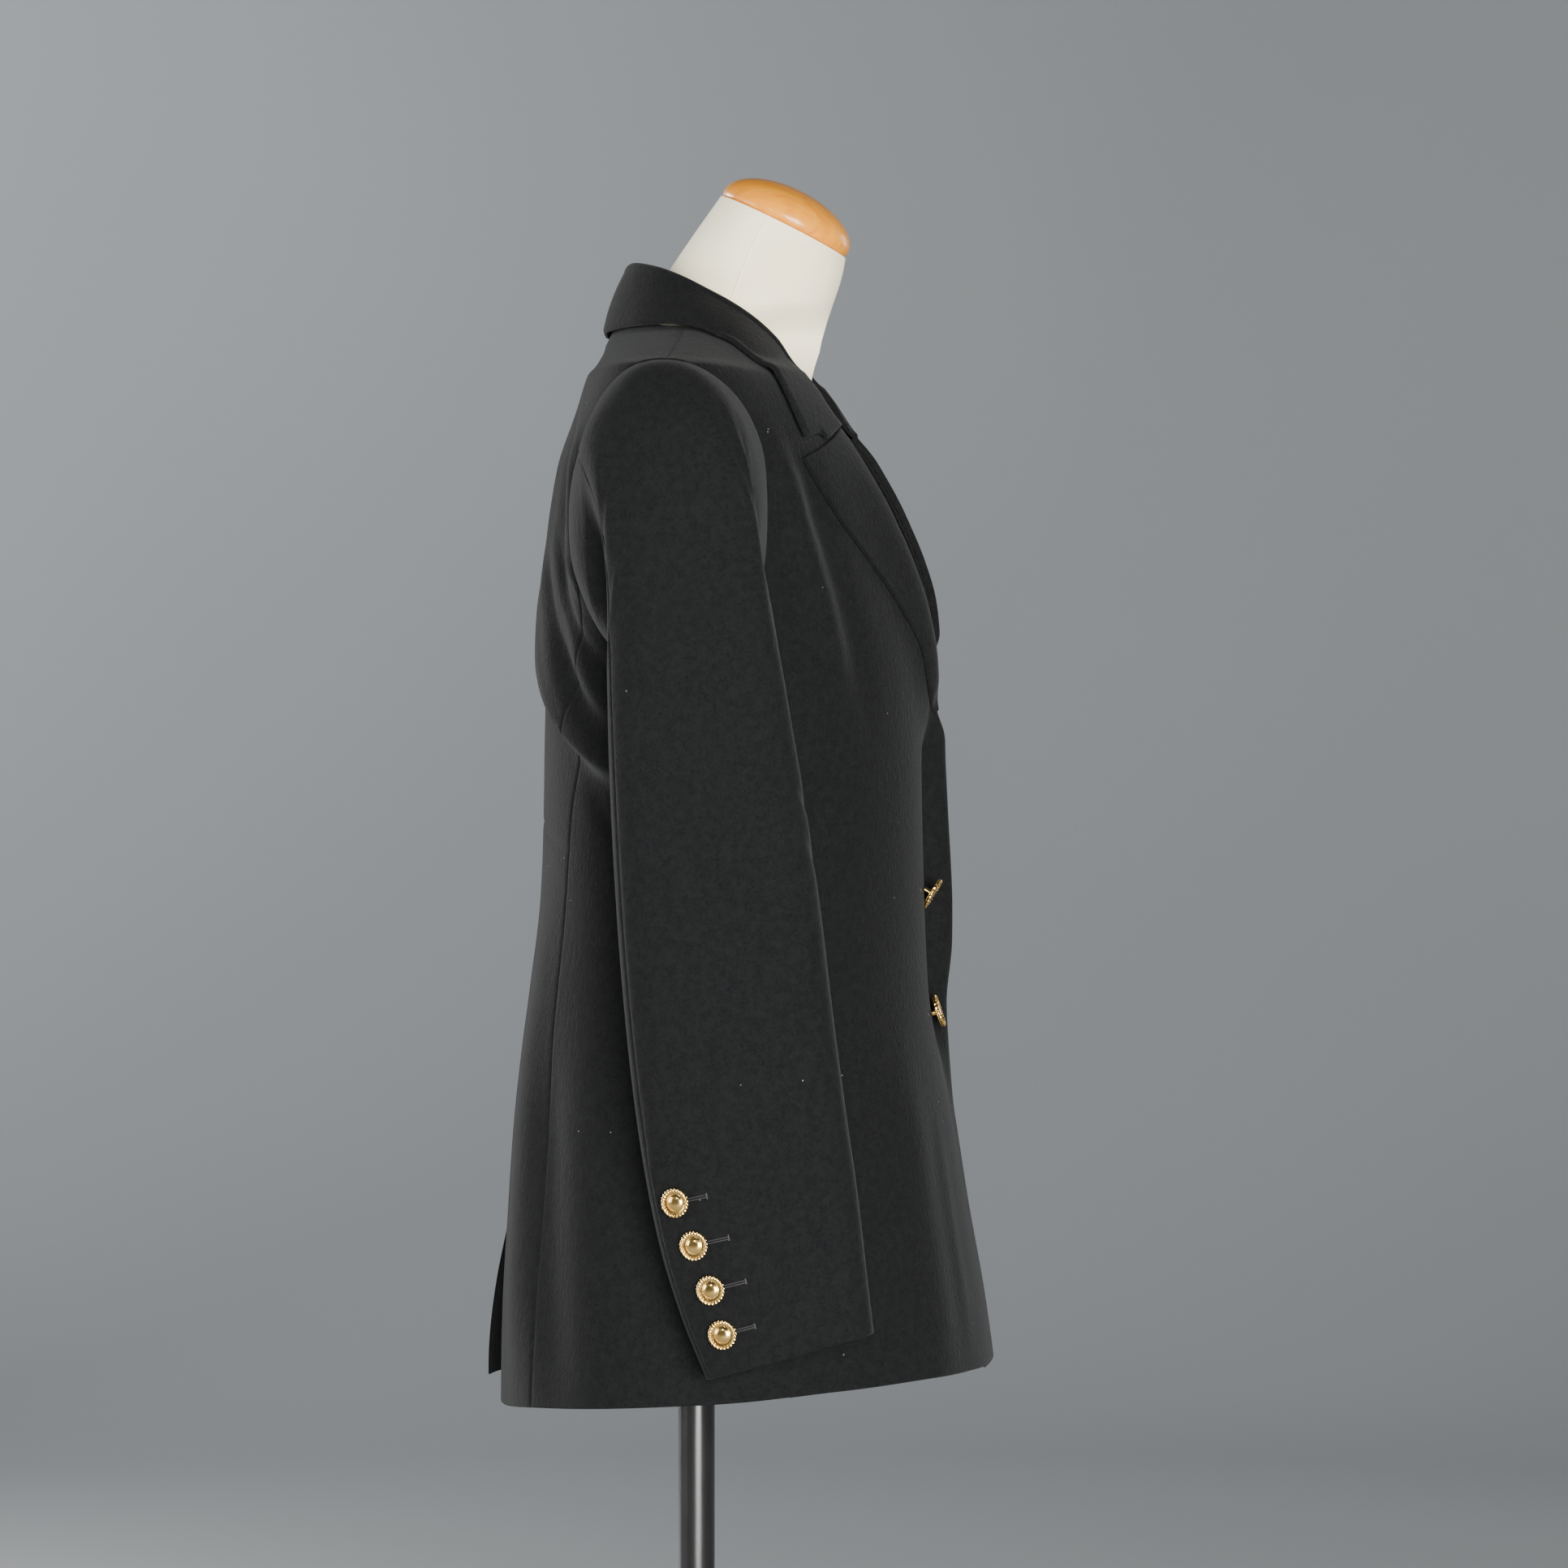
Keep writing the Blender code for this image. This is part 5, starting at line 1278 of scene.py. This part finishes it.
def make_collar():
    share = np.linspace(-1, 1, 2 * COLLAR_SHARES + 1)
    points = collar_lines(share)
    normals = grid_normals(points)
    outside = points + normals * (COLLAR_CLOTH / 2)
    obj, size = cloth_shell("wool_collar", outside, normals, COLLAR_CLOTH, {})
    declare(obj, "collar")


def make_lapels():
    for left, side in SIDES:
        points, normals, inside = lapel_grid(left)
        obj, size = cloth_shell(f"wool_lapel_{side}", points, normals, LAPEL_END_CLOTH, {},
                                not left, inside)
        declare(obj, f"lapel_{side}")


# Buttons and buttonholes

def aim(place, axis, up=Vector((0, 0, 1))):
    """A matrix whose Z is the axis and whose origin is the place."""
    z = Vector(axis).normalized()
    x = up.cross(z).normalized()
    y = z.cross(x)
    turn = Matrix((x, y, z)).transposed().to_4x4()
    return Matrix.Translation(Vector(place)) @ turn


def add_circle(bm, matrix, sides, place_at):
    """Adds a closed ring of vertices; place_at gives each one's place from its angle."""
    angles = [2 * math.pi * k / sides for k in range(sides)]
    return [bm.verts.new(matrix @ Vector(place_at(angle))) for angle in angles]


def join_rings(bm, first, second):
    """Adds the faces between two rings, one of which may be a single point."""
    sides = max(len(first), len(second))
    for k in range(sides):
        m = (k + 1) % sides
        if len(first) == 1:
            bm.faces.new((first[0], second[k], second[m]))
        elif len(second) == 1:
            bm.faces.new((first[k], second[0], first[m]))
        else:
            bm.faces.new((first[k], second[k], second[m], first[m]))


def lathe(bm, profile, sides, matrix):
    """Adds a turned body from points of radius and height; a radius of 0 makes a tip."""
    rings = [
        add_circle(bm, matrix, sides if radius else 1,
                   lambda a: (radius * math.cos(a), radius * math.sin(a), height))
        for radius, height in profile
    ]
    for high, low in zip(rings, rings[1:]):
        join_rings(bm, high, low)


def quarter(centre, height, wide, tall, steps):
    """Profile points of a quarter turn, from its top out to its side."""
    turns = [math.radians(90 * k / steps) for k in range(steps + 1)]
    return [(centre + wide * math.sin(turn), height + tall * math.cos(turn)) for turn in turns]


def rope_ring(bm, radius, thick, height, matrix):
    """Adds a ring of two twisted strands."""
    around = ROPE_TURNS * ROPE_STEPS
    rings = []
    for i in range(around):
        swing = 2 * math.pi * i / around

        def place_at(lap):
            wave = thick * (1 + ROPE_WAVE * math.cos(2 * lap + swing * ROPE_TURNS))
            out = radius + wave * math.cos(lap)
            return out * math.cos(swing), out * math.sin(swing), height + wave * math.sin(lap)

        rings.append(add_circle(bm, matrix, ROPE_SIDES, place_at))
    for first, second in zip(rings, rings[1:] + rings[:1]):
        join_rings(bm, first, second)


def make_button(name, radius, shank, matrix, node):
    """A domed button with a recessed ring and a rope-twist rim, on a shank."""
    profile = [(out * radius, shank + up * radius) for out, up in BUTTON_OUTLINE]
    profile += [(SHANK_RADIUS, shank), (SHANK_RADIUS, 0), (0, 0)]
    bm = bmesh.new()
    lathe(bm, profile, BUTTON_SIDES, matrix)
    rope_ring(bm, ROPE_RADIUS * radius, ROPE_THICK * radius, shank + ROPE_HEIGHT * radius, matrix)
    settle(new_object(name, bm, gold, 40), node)


def tube_path(bm, points, radius, closed=False):
    """Adds a round tube along points."""
    points = [Vector(place) for place in points]
    last = len(points) - 1
    rings = []
    for i, place in enumerate(points):
        before = points[i - 1] if closed or i else place
        after = points[(i + 1) % (last + 1)] if closed or i < last else place
        run = (after - before).normalized()
        side = (side - run * side.dot(run) if rings else run.orthogonal()).normalized()
        up = run.cross(side)
        rings.append(add_circle(
            bm, Matrix.Translation(place), TUBE_SIDES,
            lambda a: side * radius * math.cos(a) + up * radius * math.sin(a)))
    if closed:
        rings.append(rings[0])
    else:
        bm.faces.new(rings[0][::-1])
        bm.faces.new(rings[-1])
    for first, second in zip(rings, rings[1:]):
        for k in range(TUBE_SIDES):
            m = (k + 1) % TUBE_SIDES
            bm.faces.new((first[k], first[m], second[m], second[k]))


def keyhole(length):
    """Outline of a keyhole buttonhole in its own plane: an eye at 0 and a slit."""
    swings = [math.pi + math.radians(26 * k) for k in range(-5, 6)]
    outline = [(HOLE_EYE * math.cos(swing), -HOLE_EYE * math.sin(swing)) for swing in swings]
    start = HOLE_EYE * 0.7
    slit = [start + (length - start) * k / 12 for k in range(1, 13)]
    outline += [(u, -HOLE_WIDTH / 2) for u in slit] + [(u, HOLE_WIDTH / 2) for u in slit[::-1]]
    return np.array(outline)


def make_cuff_details():
    degree = math.radians(1) * SLEEVE_RADIUS
    rises = np.linspace(-0.5, 0.5, 7) * HOLE_BAR
    for left, side in SIDES:
        flip = np.array((1 if left else -1, 1, 1))
        bm = bmesh.new()

        def stitch(angles, shares, thick, closed):
            on, out = sleeve_point(angles, shares, left)
            tube_path(bm, (on + out * HOLE_LIFT) * flip, thick, closed)

        for k, (share, angle) in enumerate(CUFF_BUTTONS, 1):
            place, normal = sleeve_point(np.array([angle]), np.array([share]), left, fine=False)
            place, normal = place[0] * flip, normal[0] * flip
            make_button(f"gold_cuff_button_{side}_{k}", CUFF_BUTTON_RADIUS, CUFF_SHANK,
                        aim(place + normal * FACE_GAP, normal), f"cuff_button_{side}_{k}")
            back, rise = keyhole(HOLE_LENGTH).T
            stitch(angle - back / degree, share - rise / SLEEVE_METRES, HOLE_THREAD, True)
            stitch(angle - HOLE_LENGTH / degree, share - rises / SLEEVE_METRES,
                   HOLE_THREAD * HOLE_BAR_THICK, False)
        settle(new_object(f"cuff_buttonholes_{side}", bm, thread))


def make_front_buttons():
    flip = np.array((-1, 1, 1))
    bm = bmesh.new()
    for k, (x, height, lean, shank) in enumerate(FRONT_BUTTONS, 1):
        xs, heights = np.array([x]), np.array([height])
        place, normal = body_point(xs, fore_at(xs, heights, False), heights, False, fine=False)
        tilt = math.radians(lean)
        axis = Vector((0, -math.cos(tilt), math.sin(tilt)))
        lift = FACE_GAP + SHANK_RADIUS * abs(math.sin(tilt)) + SHANK_GAP
        make_button(f"gold_front_button_{k}", FRONT_BUTTON_RADIUS, shank,
                    aim((place[0] + normal[0] * lift) * flip, axis), f"front_button_{k}")
        back, rise = keyhole(FRONT_HOLE_LENGTH).T
        xs, heights = x - FRONT_HOLE_SET_BACK + back, height + rise
        on, _ = body_point(xs, fore_at(xs, heights, False), heights, False, HOLE_LIFT)
        tube_path(bm, on * flip, HOLE_THREAD, closed=True)
    settle(new_object("front_buttonholes", bm, thread))


# Dress form

def neck_point(angle, step):
    """A point of the neck; its front grows round above the torso's pointed top ring."""
    back, back_z, front, front_z, half_width = neck_ring(step)
    across = np.sin(np.radians(angle))
    ahead = -np.cos(np.radians(angle))
    square = NECK_SQUARE + (2 - NECK_SQUARE) * smooth(step / NECK_BLEND)
    square = np.where(ahead > 0, square, 2)
    share = (1 + power(ahead, 2 / square)) / 2
    x = half_width * power(across, 2 / square)
    return point(x, back + (front - back) * share, back_z + (front_z - back_z) * share)


def form_points():
    """Rings of the form's surface from its base to the neck's top."""
    angle = np.arange(FORM_SIDES) * 360 / FORM_SIDES
    heights = np.concatenate([np.linspace(*levels) for levels in FORM_LEVELS])
    rings = []
    for height in heights:
        level = np.full(FORM_SIDES, height)
        rings.append(point(*ring_place(form_ring, angle, level), level))
    rings += [neck_point(angle, step) for step in np.linspace(0, NECK_STEPS, 40)]
    return np.stack(rings)


def make_form():
    points = form_points()
    index = np.arange(len(points) * FORM_SIDES).reshape(-1, FORM_SIDES)
    faces = grid_quads(index, np.roll(index, -1, axis=1)).tolist()
    faces += [index[0, ::-1].tolist(), index[-1].tolist()]
    torso = object_from("jersey_torso", points.reshape(-1, 3), faces, canvas, 40)
    settle(torso, "form_torso")

    seam = bmesh.new()
    for sign in (-1, 1):
        path = []
        for step in np.linspace(0, NECK_STEPS, 36):
            swing = NECK_SEAM_LOW + (NECK_SEAM_TOP - NECK_SEAM_LOW) * smooth(step / NECK_STEPS)
            path.append(neck_point(swing, step) * np.array((sign, 1, 1)))
        tube_path(seam, path, NECK_SEAM_THICK)
    settle(new_object("jersey_neck_seams", seam, canvas, turned=False))

    back, back_z, front, front_z, _ = neck_ring(NECK_STEPS)
    middle = Vector((0, -(back + front) / 2, (back_z + front_z) / 2))
    slope = math.atan2(back_z - front_z, front - back)
    axis = Vector((0, -math.sin(slope), math.cos(slope)))
    cap = quarter(0, CAP_RIM, CAP_RADIUS, CAP_RISE, 24)
    cap += [(CAP_RADIUS - inset, height) for inset, height in CAP_FOOT] + [(0, 0)]
    bm = bmesh.new()
    lathe(bm, cap, TURNED_SIDES, aim(middle + axis * CAP_GAP, axis, Vector((1, 0, 0))))
    settle(new_object("wooden_neck_cap", bm, wood, 60), "form_cap")


def make_stand():
    pole_top = FORM_RINGS[0][0] - FACE_GAP
    pole_low = BASE_THICK + FACE_GAP
    pole = [(0, pole_top), (POLE_RADIUS, pole_top), (POLE_RADIUS, pole_low), (0, pole_low)]
    base = [(0, BASE_THICK), (SOCKET_RADIUS + BASE_RING, BASE_THICK)]
    base += quarter(BASE_RADIUS - BASE_EDGE, BASE_THICK - BASE_EDGE, BASE_EDGE, BASE_EDGE, 8)
    base += [(BASE_RADIUS, FOOT_EDGE), (BASE_RADIUS - FOOT_EDGE, 0), (0, 0)]
    bore = POLE_RADIUS + FACE_GAP
    socket = [(bore, pole_low), (bore, SOCKET_TOP)]
    socket += quarter(SOCKET_RADIUS - SOCKET_EDGE, SOCKET_TOP - SOCKET_EDGE,
                      SOCKET_EDGE, SOCKET_EDGE, 6)
    socket += [(SOCKET_RADIUS, pole_low), (bore, pole_low)]
    for name, profile in (("pole", pole), ("base", base), ("socket", socket)):
        bm = bmesh.new()
        lathe(bm, profile, TURNED_SIDES, Matrix.Identity(4))
        bmesh.ops.remove_doubles(bm, verts=bm.verts, dist=0.00001)
        settle(new_object(f"gloss_{name}", bm, black_metal, 40), f"form_{name}")


# Studio

def make_room():
    """A pale round floor that curves up into a wall all round."""
    flat = ROOM_RADIUS - ROOM_CURVE
    profile = [(0, 0), *quarter(flat, ROOM_CURVE, ROOM_CURVE, -ROOM_CURVE, 16)]
    bm = bmesh.new()
    lathe(bm, profile + [(ROOM_RADIUS, ROOM_HEIGHT)], TURNED_SIDES, Matrix.Identity(4))
    for face in bm.faces:
        face.normal_flip()
    new_object("studio_floor", bm, make_stage_paint(), 60, turned=False)


def make_lights():
    for name, place, target, size, power, color in LIGHTS:
        data = bpy.data.lights.new(name, "AREA")
        data.shape = "RECTANGLE"
        data.size, data.size_y = size
        data.energy = power
        data.color = color
        light = bpy.data.objects.new(name, data)
        light.matrix_world = aim(place, Vector(place) - Vector(target))
        bpy.context.scene.collection.objects.link(light)
    world = bpy.data.worlds.new("Studio")
    world.use_nodes = True
    background = world.node_tree.nodes["Background"]
    background.inputs["Color"].default_value = (*WORLD_COLOR, 1)
    background.inputs["Strength"].default_value = WORLD_STRENGTH
    bpy.context.scene.world = world


def make_camera():
    turn = math.radians(CAMERA_AZIMUTH)
    away = Vector((math.sin(turn), -math.cos(turn), 0))
    data = bpy.data.cameras.new("photo_view")
    data.lens = CAMERA_LENS
    data.sensor_width = CAMERA_SENSOR
    data.sensor_fit = "HORIZONTAL"
    camera = bpy.data.objects.new("photo_view", data)
    camera.matrix_world = aim(CAMERA_TARGET + away * CAMERA_DISTANCE, away)
    bpy.context.scene.collection.objects.link(camera)
    bpy.context.scene.camera = camera


make_camera()
make_body()
make_sleeves()
make_collar()
make_lapels()
make_cuff_details()
make_front_buttons()
make_form()
make_stand()
make_room()
make_lights()
